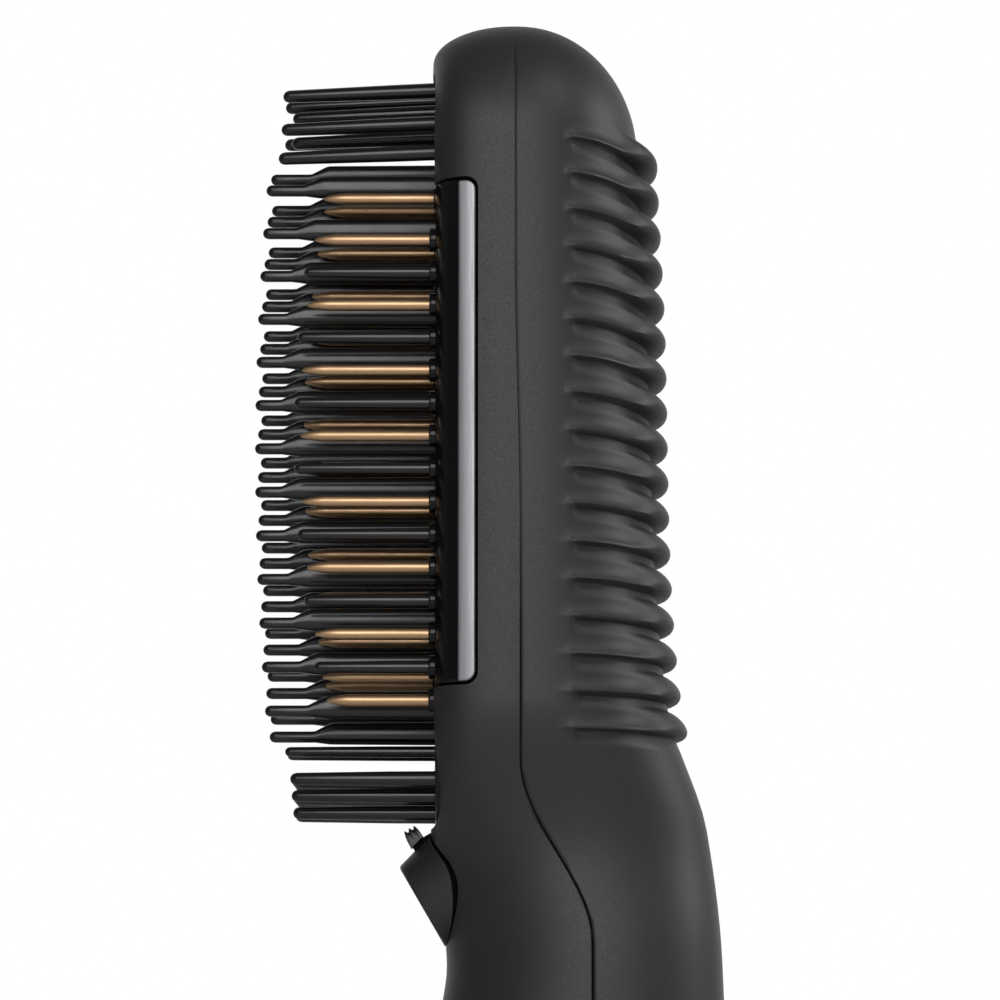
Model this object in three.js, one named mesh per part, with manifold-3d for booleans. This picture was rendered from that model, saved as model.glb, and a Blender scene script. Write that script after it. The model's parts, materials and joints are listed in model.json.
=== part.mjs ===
// Hair straightening brush, in millimetres. The grip stands along +Z, the head is at the top
// and the pins point to -X. Every piece is built from the dimensions below.
import * as THREE from 'three';
import { mergeVertices } from 'three/addons/utils/BufferGeometryUtils.js';
import Module from 'manifold-3d';

const wasm = await Module();
wasm.setup();

// Fits
const seatGap = 0.3;
const seamGap = 0.3;
const runGap = 0.3;

// Whole body, from the grip's end over the neck to the crown of the head
const gripLength = 155;
const neckLength = 31;
const headLength = 83.4;
const neckZ = gripLength;
const headZ = neckZ + neckLength;
const brushLength = headZ + headLength;
const shellWall = 2.2;
const bodySides = 32;
const hollowSides = 16;

// Grip, given by how far its outline lies from the grip's axis
const gripSeamX = 0.8;
const gripRoundness = 2.3;
const gripEndFront = 13.4;
const gripEndBack = 13.4;
const gripEndHalfWidth = 13.4;
const bellyDrop = 50;
const bellyFront = 17.6;
const bellyBack = 17.7;
const bellyHalfWidth = 17;
const neckFront = 16.3;
const neckBack = 16.6;
const neckHalfWidth = 15.6;
const waistRise = 9.5;
const waistHalfWidth = 14.7;
const throatDrop = 6;
const throatFront = 17;

// Head
const shoulderRise = 16;
const shoulderFront = 18.2;
const shoulderBack = 14.9;
const headFront = 18.1;
const headBack = 10.2;
const headBackUpper = 8.8;
const backTurnRise = 18;
const backTurn = 8.95;
const headHalfWidth = 18;
const headSeamX = -7.8;
const headSquareness = 6.5;
const headBlend = 8;
const seamTurnRise = 2.8;
const seamTurnLength = 20.9;
const domeRiseFront = 5;
const domeRiseBack = 24;
const domeRiseSide = 14;

// Grip ribs round the back of the head
const ribPitch = 4.22;
const ribFootDrop = 2.45;
const ribCrownMargin = 17.5;
const ribHeightLow = 1.9;
const ribHeightHigh = 0.9;
const ribCrestHalf = 0.35;
const ribFootHalf = 1.05;
const ribFadeStart = 58;
const ribFadeEnd = 70;

// Windows in the sides of the head, with the comb tray and the trim strips
const windowRise = 1.3;
const windowCrownMargin = 21.9;
const windowDepthX = 12.5;
const windowGap = 0.3;
const trimWidth = 2.1;
const trimThickness = 1.7;

// Guard comb
const combFaceX = 17.6;
const combThickness = 2.4;
const combNeckRise = 16.6;
const combCrownMargin = 6.8;
const combEndHalfWidth = 12.2;
const combCornerRadius = 8;
const combLipWidth = 1.4;
const combLipThickness = 1.2;
const combLipRise = 4.9;
const trayHalfWidth = 13;
const toothHoleGap = 0.28;
const collarHeight = 0.7;
const collarWall = 0.34;
const pinRoot = 0.5;

// Long stepped pins: a middle column, and two side columns half a pitch further up
const longPinPitch = 5.25;
const longPinFootDrop = 3.5;
const longPinCrownMargin = 18.3;
const longPinColumnY = 6;
const longPinReach = 39.3;
const longPinDrop = 0.0013;
const longPinStepReach = 36.4;
const longPinStepLength = 2;
const longPinHalfHeight = 1.4;
const longPinHalfWidth = 0.95;
const longPinTipRadius = 0.68;
const longPinTipShift = 0.4;

// Outer columns, heated teeth and plain pins in turn, and the heated teeth at their ends
const outerColumnY = 10.6;
const outerPitch = 3.94;
const outerCrownMargin = 27.9;
const outerPinReach = 34.4;
const outerPinRadius = 0.78;
const endToothY = 8.3;
const endToothRise = 3;
const endToothCrownMargin = 22.75;

// Inner columns of heated teeth, level with the middle column of long pins
const innerToothY = 3;
const innerToothRise = 0.7;
const toothRadius = 0.74;
const toothReach = 33.6;
const toothBevel = 1.6;
const stepDrop = 0.0031;
const arcRise = 32.5;

// Plain pins above and below the heated field, in pairs at the given distance from the middle
const endPinRadius = 0.95;
const endPinTipRadius = 0.76;
const endPinReach = 37;
const endPinReachLow = 35.3;
const endPinDrop = 0.00036;
const endPinLean = 0.8;
const endRowsTop = [[3], [4.2], [8]];
const endRowTopMargin = 8.95;
const endRowPitchTop = 4.4;
const endRowsBottom = [[3], [0, 6], [3, 8.4]];
const endRowBottomRise = 1.6;
const endRowPitchBottom = 1.85;
const shortPinMargins = [11, 14.1];
const shortPinReach = 35.9;
const lastPinY = 3;
const lastPinDrop = 2;
const lastPinRadius = 0.7;
const lastPinReach = 36.1;

// Heater stack, one layer behind the other
const heaterThickness = 2.4;
const heaterHalfWidth = 12.4;
const heaterMargin = 1.7;
const filmThickness = 0.3;
const elementCount = 3;
const elementLength = 15.6;
const elementPitch = 18;
const elementHalfWidth = 7;
const elementThickness = 2.2;
const electrodeThickness = 0.4;
const electrodeTab = 4.4;
const electrodeTabWidth = 2.4;
const micaThickness = 0.8;
const springHalfWidth = 5;
const springThickness = 0.6;
const springRise = 5;
const springHalfLength = 18;
const springBarHalf = 3.5;
const thermistorRadius = 0.9;
const thermistorLength = 5;
const fuseRadius = 1.6;
const fuseLength = 9;
const sensorY = 9.6;

// Control pod on the neck, on an axis that tips down to the front
const podStandOff = 2.9;
const podRise = 7.1;
const podTilt = 30.3;
const podFaceRadius = 5.55;
const podEdge = 0.45;
const podTaper = 0.28;
const podTaperDepth = 5;
const podWall = 1.1;
const podFlangeDepth = 9.4;
const podFlangeThickness = 1.2;
const podFlangeWidth = 1.2;
const podCollarWall = 1.1;
const buttonRadius = 4.05;
const buttonLip = 2.2;
const buttonFlangeThickness = 0.8;
const buttonFlangeWidth = 0.75;
const buttonStemRadius = 1.5;
const buttonTravel = 0.8;
const buttonEdge = 0.35;

// Slide knob on the pod's upper flank
const slideDepth = 3.35;
const slideTravel = 0.7;
const slideLength = 1.95;
const slideHalfWidth = 1.7;
const slideHeight = 1.7;
const slideRidges = 3;
const slideStemHalf = 0.45;
const slideTailU = 4.9;
const slideTailThickness = 0.6;

// Switch board behind the pod
const switchBoardThickness = 1.2;
const switchBoardHalfLength = 7;
const switchBoardHalfWidth = 7.4;
const tactHalf = 3;
const tactHeight = 3;
const tactPlungerRadius = 1.7;
const tactPlungerHeight = 0.65;
const slideBodyLength = 2.6;
const switchPostRadius = 1.8;
const switchPostY = 5.2;
const coilRadius = 2.6;
const coilWireRadius = 0.25;
const coilTurns = 4;

// Control board in the grip
const boardX = 1.6;
const boardThickness = 1.6;
const boardFootZ = 40;
const boardNeckDrop = 16;
const boardHalfWidth = 11;
const boardScrewInset = 5;
const boardEndRoom = 9;
const moduleDepth = 11;
const moduleHalfWidth = 8;
const moduleLength = 26;
const capacitorRadius = 5;
const capacitorLength = 14;
const transistorDepth = 4.6;
const transistorHalfWidth = 5;
const transistorLength = 10;

// Screws, bosses and covers
const screwRadius = 1.1;
const screwHoleGap = 0.3;
const screwHeadRadius = 2.4;
const screwHeadHeight = 1.7;
const bossRadius = 3.2;
const gripScrewFootZ = 26;
const gripScrewNeckDrop = 8;
const gripScrewFloorX = 5.9;
const gripScrewLength = 12;
const gripBossRadius = 4.4;
const coverThickness = 2.2;
const headScrewDrop = 5.5;
const headScrewCrownMargin = 14.9;
const headScrewLength = 8;
const boardScrewLength = 8;
const bridgeX = -12;
const bridgeThickness = 2;
const bridgeHalfHeight = 3.1;

// Grip end: cap, cord collar and its ring
const capFlange = 3;
const capEdge = 0.9;
const capReveal = 0.2;
const capSpigot = 6;
const capSpigotWall = 1.9;
const collarRadius = 6;
const collarRecess = 0.5;
const collarFlangeRadius = 7.8;
const collarFlangeThickness = 1.7;
const collarNeckRadius = 4.6;
const collarTopZ = 10;
const cordBoreRadius = 3.2;
const ringThickness = 1.7;

// Leads
const supplyLeadRadius = 1;
const supplyLeadY = 3.9;
const heaterLeadRadius = 0.95;
const leadSideY = 10.6;

// Levels along the brush that follow from the sizes above
const bellyZ = neckZ - bellyDrop;
const shoulderZ = neckZ + shoulderRise;
const seamTurnLowZ = neckZ + seamTurnRise;
const seamTurnHighZ = seamTurnLowZ + seamTurnLength;
const ribFirstZ = headZ - ribFootDrop;
const ribCount = Math.floor((brushLength - ribCrownMargin - ribFirstZ) / ribPitch) + 1;
const windowLowZ = headZ + windowRise;
const windowHighZ = brushLength - windowCrownMargin;
const combLowZ = neckZ + combNeckRise;
const combHighZ = brushLength - combCrownMargin;
const combLipLowZ = combLowZ + combLipRise;
const combBackX = combFaceX - combThickness;
const longPinFirstZ = headZ - longPinFootDrop;
const middleRows = Math.floor((brushLength - longPinCrownMargin - longPinFirstZ) / longPinPitch) + 1;
const outerSteps = Math.floor((brushLength - outerCrownMargin - headZ) / outerPitch) + 1;
const endToothZs = [headZ + endToothRise, brushLength - endToothCrownMargin];
const arcCentreZ = headZ + arcRise;
const gripScrewZs = [gripScrewFootZ, neckZ - gripScrewNeckDrop];
const headScrewZs = [headZ - headScrewDrop, brushLength - headScrewCrownMargin];
const boardHighZ = neckZ - boardNeckDrop;
const podFaceX = -neckFront - podStandOff;
const podFaceZ = neckZ + podRise;

// Cutting blocks reach this far past the body.
const beyond = brushLength;

// Helpers
const lerp = (a, b, t) => a + (b - a) * t;

function smooth(low, high, value) {
  const t = Math.min(1, Math.max(0, (value - low) / (high - low)));
  return t * t * (3 - 2 * t);
}

// A smooth curve through [z, value] stations that never overshoots them.
function curve(stations) {
  const slope = (i) => (stations[i + 1][1] - stations[i][1]) / (stations[i + 1][0] - stations[i][0]);
  const tangents = stations.map((_, i) => {
    if (i === 0 || i === stations.length - 1) return 0;
    const before = slope(i - 1);
    const after = slope(i);
    return before * after <= 0 ? 0 : (2 * before * after) / (before + after);
  });
  return (z) => {
    if (z <= stations[0][0]) return stations[0][1];
    const last = stations.length - 1;
    if (z >= stations[last][0]) return stations[last][1];
    const i = stations.findIndex((station, k) => z < stations[k + 1][0]);
    const span = stations[i + 1][0] - stations[i][0];
    const t = (z - stations[i][0]) / span;
    const rise = t * t * (3 - 2 * t);
    const leave = t * (1 - t) * (1 - t) * span * tangents[i];
    const arrive = t * t * (t - 1) * span * tangents[i + 1];
    return lerp(stations[i][1], stations[i + 1][1], rise) + leave + arrive;
  };
}

function closedGeometry(positions, indices) {
  const geometry = new THREE.BufferGeometry();
  geometry.setAttribute('position', new THREE.Float32BufferAttribute(positions, 3));
  geometry.setIndex(indices);
  return geometry;
}

function solid(geometry) {
  const plain = geometry.clone();
  plain.deleteAttribute('normal');
  plain.deleteAttribute('uv');
  const merged = mergeVertices(plain, 1e-4);
  const vertProperties = new Float32Array(merged.getAttribute('position').array);
  const triVerts = new Uint32Array(merged.getIndex().array);
  return new wasm.Manifold(new wasm.Mesh({ numProp: 3, vertProperties, triVerts }));
}

function geometryOf(body) {
  const mesh = body.getMesh();
  const geometry = closedGeometry(Array.from(mesh.vertProperties), Array.from(mesh.triVerts));
  const flat = geometry.toNonIndexed();
  flat.computeVertexNormals();
  return flat;
}

const union = (bodies) => bodies.reduce((sum, body) => sum.add(body));

function box(x0, x1, y0, y1, z0, z1) {
  const geometry = new THREE.BoxGeometry(x1 - x0, y1 - y0, z1 - z0);
  geometry.translate((x0 + x1) / 2, (y0 + y1) / 2, (z0 + z1) / 2);
  return solid(geometry);
}

// Turned solid about +Z from [radius, height] points.
function turned(profile, sides = 24) {
  const points = profile.map(([radius, height]) => new THREE.Vector2(radius, height));
  const geometry = new THREE.LatheGeometry(points, sides);
  geometry.rotateX(Math.PI / 2);
  return geometry;
}

function rod(radius, z0, z1, sides = 16) {
  return turned([[0, z0], [radius, z0], [radius, z1], [0, z1]], sides);
}

function ring(inner, outer, z0, z1, sides = 24) {
  return turned([[inner, z0], [outer, z0], [outer, z1], [inner, z1], [inner, z0]], sides);
}

// Rod along +X from x0 to x1 at (y, z).
function rodX(radius, x0, x1, y, z, sides = 16) {
  const geometry = rod(radius, x0, x1, sides);
  geometry.rotateY(Math.PI / 2);
  geometry.translate(0, y, z);
  return solid(geometry);
}

// Plate cut from an outline in the XZ plane, from y0 to y1.
function plateY(outline, y0, y1) {
  const shape = new THREE.Shape(outline.map(([x, z]) => new THREE.Vector2(x, z)));
  const geometry = new THREE.ExtrudeGeometry(shape, { depth: y1 - y0, bevelEnabled: false });
  geometry.rotateX(Math.PI / 2);
  geometry.translate(0, y1, 0);
  return solid(geometry);
}

// Plate across the brush from x0 to x1, with rounded corners in the YZ plane.
function panel(x0, x1, halfWidth, z0, z1, corner) {
  const shape = new THREE.Shape();
  const middle = (z0 + z1) / 2;
  const w = halfWidth;
  const h = (z1 - z0) / 2;
  shape.moveTo(-w + corner, -h);
  shape.absarc(w - corner, -h + corner, corner, -Math.PI / 2, 0);
  shape.absarc(w - corner, h - corner, corner, 0, Math.PI / 2);
  shape.absarc(-w + corner, h - corner, corner, Math.PI / 2, Math.PI);
  shape.absarc(-w + corner, -h + corner, corner, Math.PI, Math.PI * 1.5);
  const geometry = new THREE.ExtrudeGeometry(shape, { depth: x1 - x0, bevelEnabled: false, curveSegments: 6 });
  geometry.applyMatrix4(new THREE.Matrix4().makeBasis(
    new THREE.Vector3(0, 1, 0),
    new THREE.Vector3(0, 0, 1),
    new THREE.Vector3(1, 0, 0),
  ));
  geometry.translate(x0, 0, middle);
  return solid(geometry);
}

// Body outline
const seamX = (z) => lerp(gripSeamX, headSeamX, smooth(seamTurnLowZ, seamTurnHighZ, z));
const frontLine = curve([
  [0, gripEndFront],
  [bellyZ, bellyFront],
  [neckZ - throatDrop, throatFront],
  [neckZ, neckFront],
  [shoulderZ, shoulderFront],
  [headZ, headFront],
]);
const backLine = curve([
  [0, gripEndBack],
  [bellyZ, bellyBack],
  [neckZ, neckBack],
  [shoulderZ, shoulderBack],
  [headZ, headBack],
  [headZ + backTurnRise, backTurn],
  [brushLength, headBackUpper],
]);
const widthLine = curve([
  [0, gripEndHalfWidth],
  [bellyZ, bellyHalfWidth],
  [neckZ, neckHalfWidth],
  [neckZ + waistRise, waistHalfWidth],
  [headZ, headHalfWidth],
]);

// Share of the full size that is left at height z, on a round end of the given rise.
function reach(z, top, rise) {
  const t = Math.max(0, (z - top + rise) / rise);
  return Math.sqrt(Math.max(0, 1 - t * t));
}

// Point of the body's section at height z: angle 0 is the back, 180 degrees the front.
function sectionPoint(z, angle, inset = 0, bump = 0) {
  const top = brushLength - inset;
  const seam = seamX(z);
  const back = Math.cos(angle) > 0;
  const full = back ? backLine(z) - seam : frontLine(z) + seam;
  const rise = back ? domeRiseBack : domeRiseFront;
  const depth = (full - inset) * reach(z, top, rise - inset) + bump;
  const width = (widthLine(z) - inset) * reach(z, top, domeRiseSide - inset) + bump;
  const squareness = lerp(gripRoundness, headSquareness, smooth(shoulderZ - headBlend, headZ, z));
  const roundness = back ? gripRoundness : lerp(squareness, gripRoundness, smooth(combHighZ - headBlend, brushLength, z));
  const along = Math.pow(Math.abs(Math.cos(angle)), 2 / roundness) * Math.sign(Math.cos(angle));
  const across = Math.pow(Math.abs(Math.sin(angle)), 2 / roundness) * Math.sign(Math.sin(angle));
  return [seam + depth * along, width * across, z];
}

// Closed body through sections at the given levels; apex closes it in a point on the seam line.
function loft(levels, place, { apex, sides = bodySides } = {}) {
  const positions = [];
  const indices = [];
  const at = (row, column) => row * sides + (column % sides);
  levels.forEach((z) => {
    for (let column = 0; column < sides; column += 1) {
      positions.push(...place(z, (column / sides) * 2 * Math.PI));
    }
  });
  for (let row = 0; row < levels.length - 1; row += 1) {
    for (let column = 0; column < sides; column += 1) {
      indices.push(at(row, column), at(row, column + 1), at(row + 1, column + 1));
      indices.push(at(row, column), at(row + 1, column + 1), at(row + 1, column));
    }
  }
  const foot = positions.length / 3;
  const head = foot + 1;
  const topRow = levels.length - 1;
  positions.push(seamX(levels[0]), 0, levels[0]);
  positions.push(seamX(brushLength), 0, apex ?? levels[topRow]);
  for (let column = 0; column < sides; column += 1) {
    indices.push(foot, at(0, column + 1), at(0, column));
    indices.push(head, at(topRow, column), at(topRow, column + 1));
  }
  return solid(closedGeometry(positions, indices));
}

const gripLevels = [0, bellyZ * 0.3, bellyZ * 0.65, bellyZ, lerp(bellyZ, neckZ, 0.55), neckZ];
const turnLevels = [0.25, 0.5, 0.75, 1].map((t) => lerp(neckZ, shoulderZ, t))
  .concat([0.33, 0.66, 1].map((t) => lerp(shoulderZ, headZ, t)));
const domeLevels = (inset) => [10, 22, 33, 44, 55, 65, 74, 82].map((angle) => {
  const rise = domeRiseBack - inset;
  return brushLength - inset - rise + rise * Math.sin((angle * Math.PI) / 180);
});

function bodyWithin(inset, sides = bodySides) {
  const plain = [...gripLevels, ...turnLevels, lerp(headZ, brushLength - domeRiseBack, 0.5)];
  const levels = [...plain, brushLength - domeRiseBack, ...domeLevels(inset)];
  return loft(levels, (z, angle) => sectionPoint(z, angle, inset), { apex: brushLength - inset, sides });
}

// The ribbed body has four levels for each rib: foot, crest, crest, foot.
function ribbedBody() {
  const ribs = Array.from({ length: ribCount }, (_, i) => ribFirstZ + i * ribPitch);
  const ribHeight = (i) => lerp(ribHeightLow, ribHeightHigh, i / (ribCount - 1));
  const ribLevels = ribs.flatMap((z, i) => [
    [z - ribFootHalf, 0],
    [z - ribCrestHalf, ribHeight(i)],
    [z + ribCrestHalf, ribHeight(i)],
    [z + ribFootHalf, 0],
  ]);
  const lowest = ribLevels[0][0];
  const highest = ribLevels[ribLevels.length - 1][0];
  const plain = [...gripLevels, ...turnLevels, brushLength - domeRiseBack, ...domeLevels(0)]
    .filter((z) => z < lowest - 0.6 || z > highest + 0.6)
    .map((z) => [z, 0]);
  const rows = [...plain, ...ribLevels].sort((a, b) => a[0] - b[0]);
  const bumps = new Map(rows);
  const place = (z, angle) => {
    const turn = Math.abs(((angle * 180) / Math.PI + 180) % 360 - 180);
    const fade = 1 - smooth(ribFadeStart, ribFadeEnd, turn);
    return sectionPoint(z, angle, 0, bumps.get(z) * fade);
  };
  return loft(rows.map(([z]) => z), place, { apex: brushLength });
}

// Block that covers everything on one side of the seam, in front (-1) or behind (1).
function sideOfSeam(side) {
  const far = side * beyond;
  const steps = 12;
  const line = Array.from({ length: steps + 1 }, (_, i) => {
    const z = lerp(seamTurnLowZ, seamTurnHighZ, i / steps);
    return [seamX(z) + (side * seamGap) / 2, z];
  });
  const low = [gripSeamX + (side * seamGap) / 2, -beyond];
  const high = [headSeamX + (side * seamGap) / 2, brushLength + beyond];
  return plateY([low, ...line, high, [far, brushLength + beyond], [far, -beyond]], -beyond, beyond);
}

// Pod axis: z runs inward along the button's travel, x up the pod's face
const podTurn = THREE.MathUtils.degToRad(podTilt);
const podInward = new THREE.Vector3(Math.cos(podTurn), 0, Math.sin(podTurn));
const podUpward = new THREE.Vector3(-Math.sin(podTurn), 0, Math.cos(podTurn));
const podAcross = new THREE.Vector3().crossVectors(podInward, podUpward);
const podFrame = new THREE.Matrix4()
  .makeBasis(podUpward, podAcross, podInward)
  .setPosition(podFaceX, 0, podFaceZ);

function inPod(geometry) {
  geometry.applyMatrix4(podFrame);
  return solid(geometry);
}

function podBox(x0, x1, y0, y1, z0, z1) {
  const geometry = new THREE.BoxGeometry(x1 - x0, y1 - y0, z1 - z0);
  geometry.translate((x0 + x1) / 2, (y0 + y1) / 2, (z0 + z1) / 2);
  return inPod(geometry);
}

const podSkirtRadius = podFaceRadius + podTaper * podTaperDepth;
const podFlangeRadius = podSkirtRadius + podFlangeWidth;
const podBackDepth = podFlangeDepth + podFlangeThickness;
const podBoreRadius = buttonRadius + runGap;
const buttonFlangeRadius = buttonRadius + buttonFlangeWidth;
const buttonFlangeDepth = buttonLip + seatGap;
const stemEndDepth = podBackDepth + seatGap;
const tactTopDepth = stemEndDepth + buttonTravel + seatGap;
const tactDepth = tactTopDepth + tactPlungerHeight;
const switchBoardDepth = tactDepth + tactHeight + seatGap;
const switchPostDepth = switchBoardDepth + switchBoardThickness + seatGap;

function controlPod() {
  const cavityTop = podFaceRadius + podTaper * buttonLip - podWall;
  const body = inPod(turned([
    [podBoreRadius, 0],
    [podFaceRadius - podEdge, 0],
    [podFaceRadius - podEdge * 0.25, podEdge * 0.3],
    [podFaceRadius + podTaper * podEdge, podEdge],
    [podSkirtRadius, podTaperDepth],
    [podSkirtRadius, podFlangeDepth],
    [podFlangeRadius, podFlangeDepth],
    [podFlangeRadius, podBackDepth],
    [podSkirtRadius - podWall, podBackDepth],
    [podSkirtRadius - podWall, podTaperDepth],
    [cavityTop, buttonLip],
    [podBoreRadius, buttonLip],
    [podBoreRadius, 0],
  ], 20));
  const half = slideStemHalf + slideTravel + runGap;
  const slotY = slideStemHalf + runGap;
  const inner = podBoreRadius + 0.35;
  const slot = podBox(inner, podSkirtRadius + 2, -slotY, slotY, slideDepth - half, slideDepth + half);
  return body.subtract(slot);
}

function powerButton() {
  const body = inPod(turned([
    [0, 0],
    [buttonRadius - buttonEdge, 0],
    [buttonRadius, buttonEdge],
    [buttonRadius, buttonFlangeDepth],
    [buttonFlangeRadius, buttonFlangeDepth],
    [buttonFlangeRadius, buttonFlangeDepth + buttonFlangeThickness],
    [buttonStemRadius, buttonFlangeDepth + buttonFlangeThickness],
    [buttonStemRadius, stemEndDepth],
    [0, stemEndDepth],
  ], 20));
  const notchY = slideStemHalf + runGap + slideTravel;
  const notch = podBox(buttonRadius + 0.15, 8, -notchY, notchY, buttonFlangeDepth - 0.2, podFlangeDepth);
  return body.subtract(notch);
}

function slideKnob() {
  const low = slideDepth - slideLength / 2;
  const base = podFaceRadius + podTaper * (slideDepth + slideLength / 2 + slideTravel) + runGap;
  const top = base + slideHeight;
  const knob = podBox(base, top, -slideHalfWidth, slideHalfWidth, low, low + slideLength);
  const grooveWidth = slideLength / (slideRidges * 2 + 1);
  const grooves = Array.from({ length: slideRidges }, (_, i) => {
    const start = low + grooveWidth * (1 + 2 * i);
    return podBox(top - 0.35, top + 1, -9, 9, start, start + grooveWidth);
  });
  const tailTop = slideTailU + slideTailThickness;
  const stem = podBox(slideTailU, base + 0.5, -slideStemHalf, slideStemHalf,
    slideDepth - slideStemHalf, slideDepth + slideStemHalf);
  const tail = podBox(slideTailU, tailTop, -slideStemHalf, slideStemHalf,
    slideDepth - slideStemHalf, tactDepth - slideTravel - seatGap);
  return union([knob.subtract(union(grooves)), stem, tail]);
}

function tactSwitch() {
  const body = podBox(-tactHalf, tactHalf, -tactHalf, tactHalf, tactDepth, tactDepth + tactHeight);
  return body.add(inPod(rod(tactPlungerRadius, tactTopDepth, tactDepth + 0.4, 12)));
}

function slideSwitch() {
  const low = tactHalf + seatGap + 0.4;
  return podBox(low, low + slideBodyLength, -3, 3, tactDepth, tactDepth + tactHeight);
}

function switchBoard() {
  const top = switchBoardDepth + switchBoardThickness;
  return podBox(-switchBoardHalfLength, switchBoardHalfLength, -switchBoardHalfWidth, switchBoardHalfWidth,
    switchBoardDepth, top);
}

// Coil round the button's stem, standing on the tact switch.
class Coil extends THREE.Curve {
  constructor(radius, turns, start, end) {
    super();
    Object.assign(this, { radius, turns, start, end });
  }

  getPoint(t, target = new THREE.Vector3()) {
    const turn = t * this.turns * 2 * Math.PI;
    const z = lerp(this.start, this.end, t);
    return target.set(this.radius * Math.cos(turn), this.radius * Math.sin(turn), z);
  }
}

function tubeAlong(path, radius, steps, sides) {
  const circle = new THREE.Shape(Array.from({ length: sides }, (_, i) => {
    const angle = (i / sides) * 2 * Math.PI;
    return new THREE.Vector2(radius * Math.cos(angle), radius * Math.sin(angle));
  }));
  return new THREE.ExtrudeGeometry(circle, { steps, extrudePath: path, bevelEnabled: false });
}

function buttonSpring() {
  const start = buttonFlangeDepth + buttonFlangeThickness + buttonTravel + seatGap + coilWireRadius;
  const end = tactDepth - seatGap - coilWireRadius;
  return inPod(tubeAlong(new Coil(coilRadius, coilTurns, start, end), coilWireRadius, coilTurns * 8, 5));
}

// Shells
const outer = bodyWithin(0);
const hollow = bodyWithin(shellWall, hollowSides);
const shellFootZ = capFlange + seatGap;
const frontHalf = sideOfSeam(-1);
const rearHalf = sideOfSeam(1);
const belowShells = box(-beyond, beyond, -beyond, beyond, -beyond, shellFootZ);
const wallRoot = bodyWithin(shellWall / 2, hollowSides);
const screwHoleRadius = screwRadius + screwHoleGap;
const recessRadius = screwHeadRadius + seatGap + 0.3;

function podHole() {
  const radius = (depth) => podFaceRadius + podTaper * depth + seatGap;
  return inPod(turned([
    [0, -6],
    [radius(-2), -6],
    [radius(-2), -2],
    [radius(podTaperDepth), podTaperDepth],
    [radius(podTaperDepth), podFlangeDepth + 2],
    [0, podFlangeDepth + 2],
  ], 24));
}

// The comb's strip through the shell's front wall, grown by gap all round.
function combPanel(x0, x1, gap) {
  return panel(x0, x1, combEndHalfWidth + gap, combLowZ - gap, combHighZ + gap, combCornerRadius + gap);
}

function frontShell() {
  const skin = outer.subtract(hollow);
  const collar = inPod(rod(podSkirtRadius + seatGap + podCollarWall, -2, podFlangeDepth - seatGap, 24))
    .intersect(wallRoot);
  const bridges = headScrewZs.map((z) => box(bridgeX, bridgeX + bridgeThickness, -beyond, beyond,
    z - bridgeHalfHeight, z + bridgeHalfHeight).intersect(wallRoot));
  const bosses = gripScrewZs.map((z) => rodX(gripBossRadius - 0.8, -beyond, gripSeamX - seamGap, 0, z)
    .intersect(wallRoot));
  const holes = [
    ...headScrewZs.map((z) => rodX(screwHoleRadius, bridgeX - 1, bridgeX + 4, 0, z, 12)),
    ...gripScrewZs.map((z) => rodX(screwHoleRadius, -gripScrewLength + gripScrewFloorX, 4, 0, z, 12)),
  ];
  const window = box(-beyond, -windowDepthX, -beyond, beyond, windowLowZ, windowHighZ);
  const heaterRoom = box(-combBackX, -windowDepthX, -heaterHalfWidth - seatGap, heaterHalfWidth + seatGap,
    stackLowZ - seatGap, stackHighZ + seatGap);
  const combRoom = union([lipPlate(seatGap), combPanel(-beyond, -combBackX + 2 * seatGap, seatGap), heaterRoom]);
  return union([skin, collar, ...bridges, ...bosses])
    .subtract(union([window, combRoom, podHole(), outsideHalf(-1), belowShells, ...holes]));
}

// Everything beyond the edge of the front shell (-1) or the rear shell (1).
function outsideHalf(side) {
  return box(-beyond, beyond, -beyond, beyond, -beyond, brushLength + beyond)
    .subtract(side < 0 ? frontHalf : rearHalf);
}

function rearShell() {
  const skin = ribbedBody().subtract(hollow);
  const inner = wallRoot;
  const posts = [-1, 1].map((side) => {
    const geometry = rod(switchPostRadius, switchPostDepth, switchPostDepth + beyond, 12);
    geometry.translate(0, side * switchPostY, 0);
    return inPod(geometry).intersect(inner);
  });
  const headBossX = bridgeX + bridgeThickness + seatGap;
  const headBosses = headScrewZs.map((z) => rodX(bossRadius, headBossX, beyond, 0, z).intersect(inner));
  const gripBosses = gripScrewZs.map((z) => rodX(gripBossRadius, gripSeamX + seamGap, beyond, 0, z).intersect(inner));
  const boardBosses = boardScrewZs().map((z) => rodX(bossRadius, boardX + boardThickness + seatGap, beyond, 0, z)
    .intersect(inner));
  const springBar = box(springCrownX() + seatGap, beyond, -springBarHalf, springBarHalf,
    stackMidZ - springBarHalf, stackMidZ + springBarHalf).intersect(inner);
  const holes = [
    ...headScrewZs.map((z) => rodX(screwHoleRadius, headBossX - 1, headBossX + headScrewLength, 0, z, 12)),
    ...gripScrewZs.map((z) => rodX(screwHoleRadius, 0, gripScrewFloorX + 1, 0, z, 12)),
    ...gripScrewZs.map((z) => rodX(recessRadius, gripScrewFloorX, beyond, 0, z, 20)),
    ...boardScrewZs().map((z) => rodX(screwHoleRadius, boardX, boardX + boardThickness + boardScrewLength, 0, z, 12)),
  ];
  return union([skin.subtract(outsideHalf(1)), ...posts, ...headBosses, ...gripBosses, ...boardBosses, springBar])
    .subtract(union([belowShells, ...holes]));
}

// Guard comb
const stackLowZ = headZ - heaterMargin;
const stackHighZ = endToothZs[1] + heaterMargin;
const stackMidZ = (stackLowZ + stackHighZ) / 2;
const onArc = (reachOut, drop, z) => reachOut - drop * (z - arcCentreZ) * (z - arcCentreZ);

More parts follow.
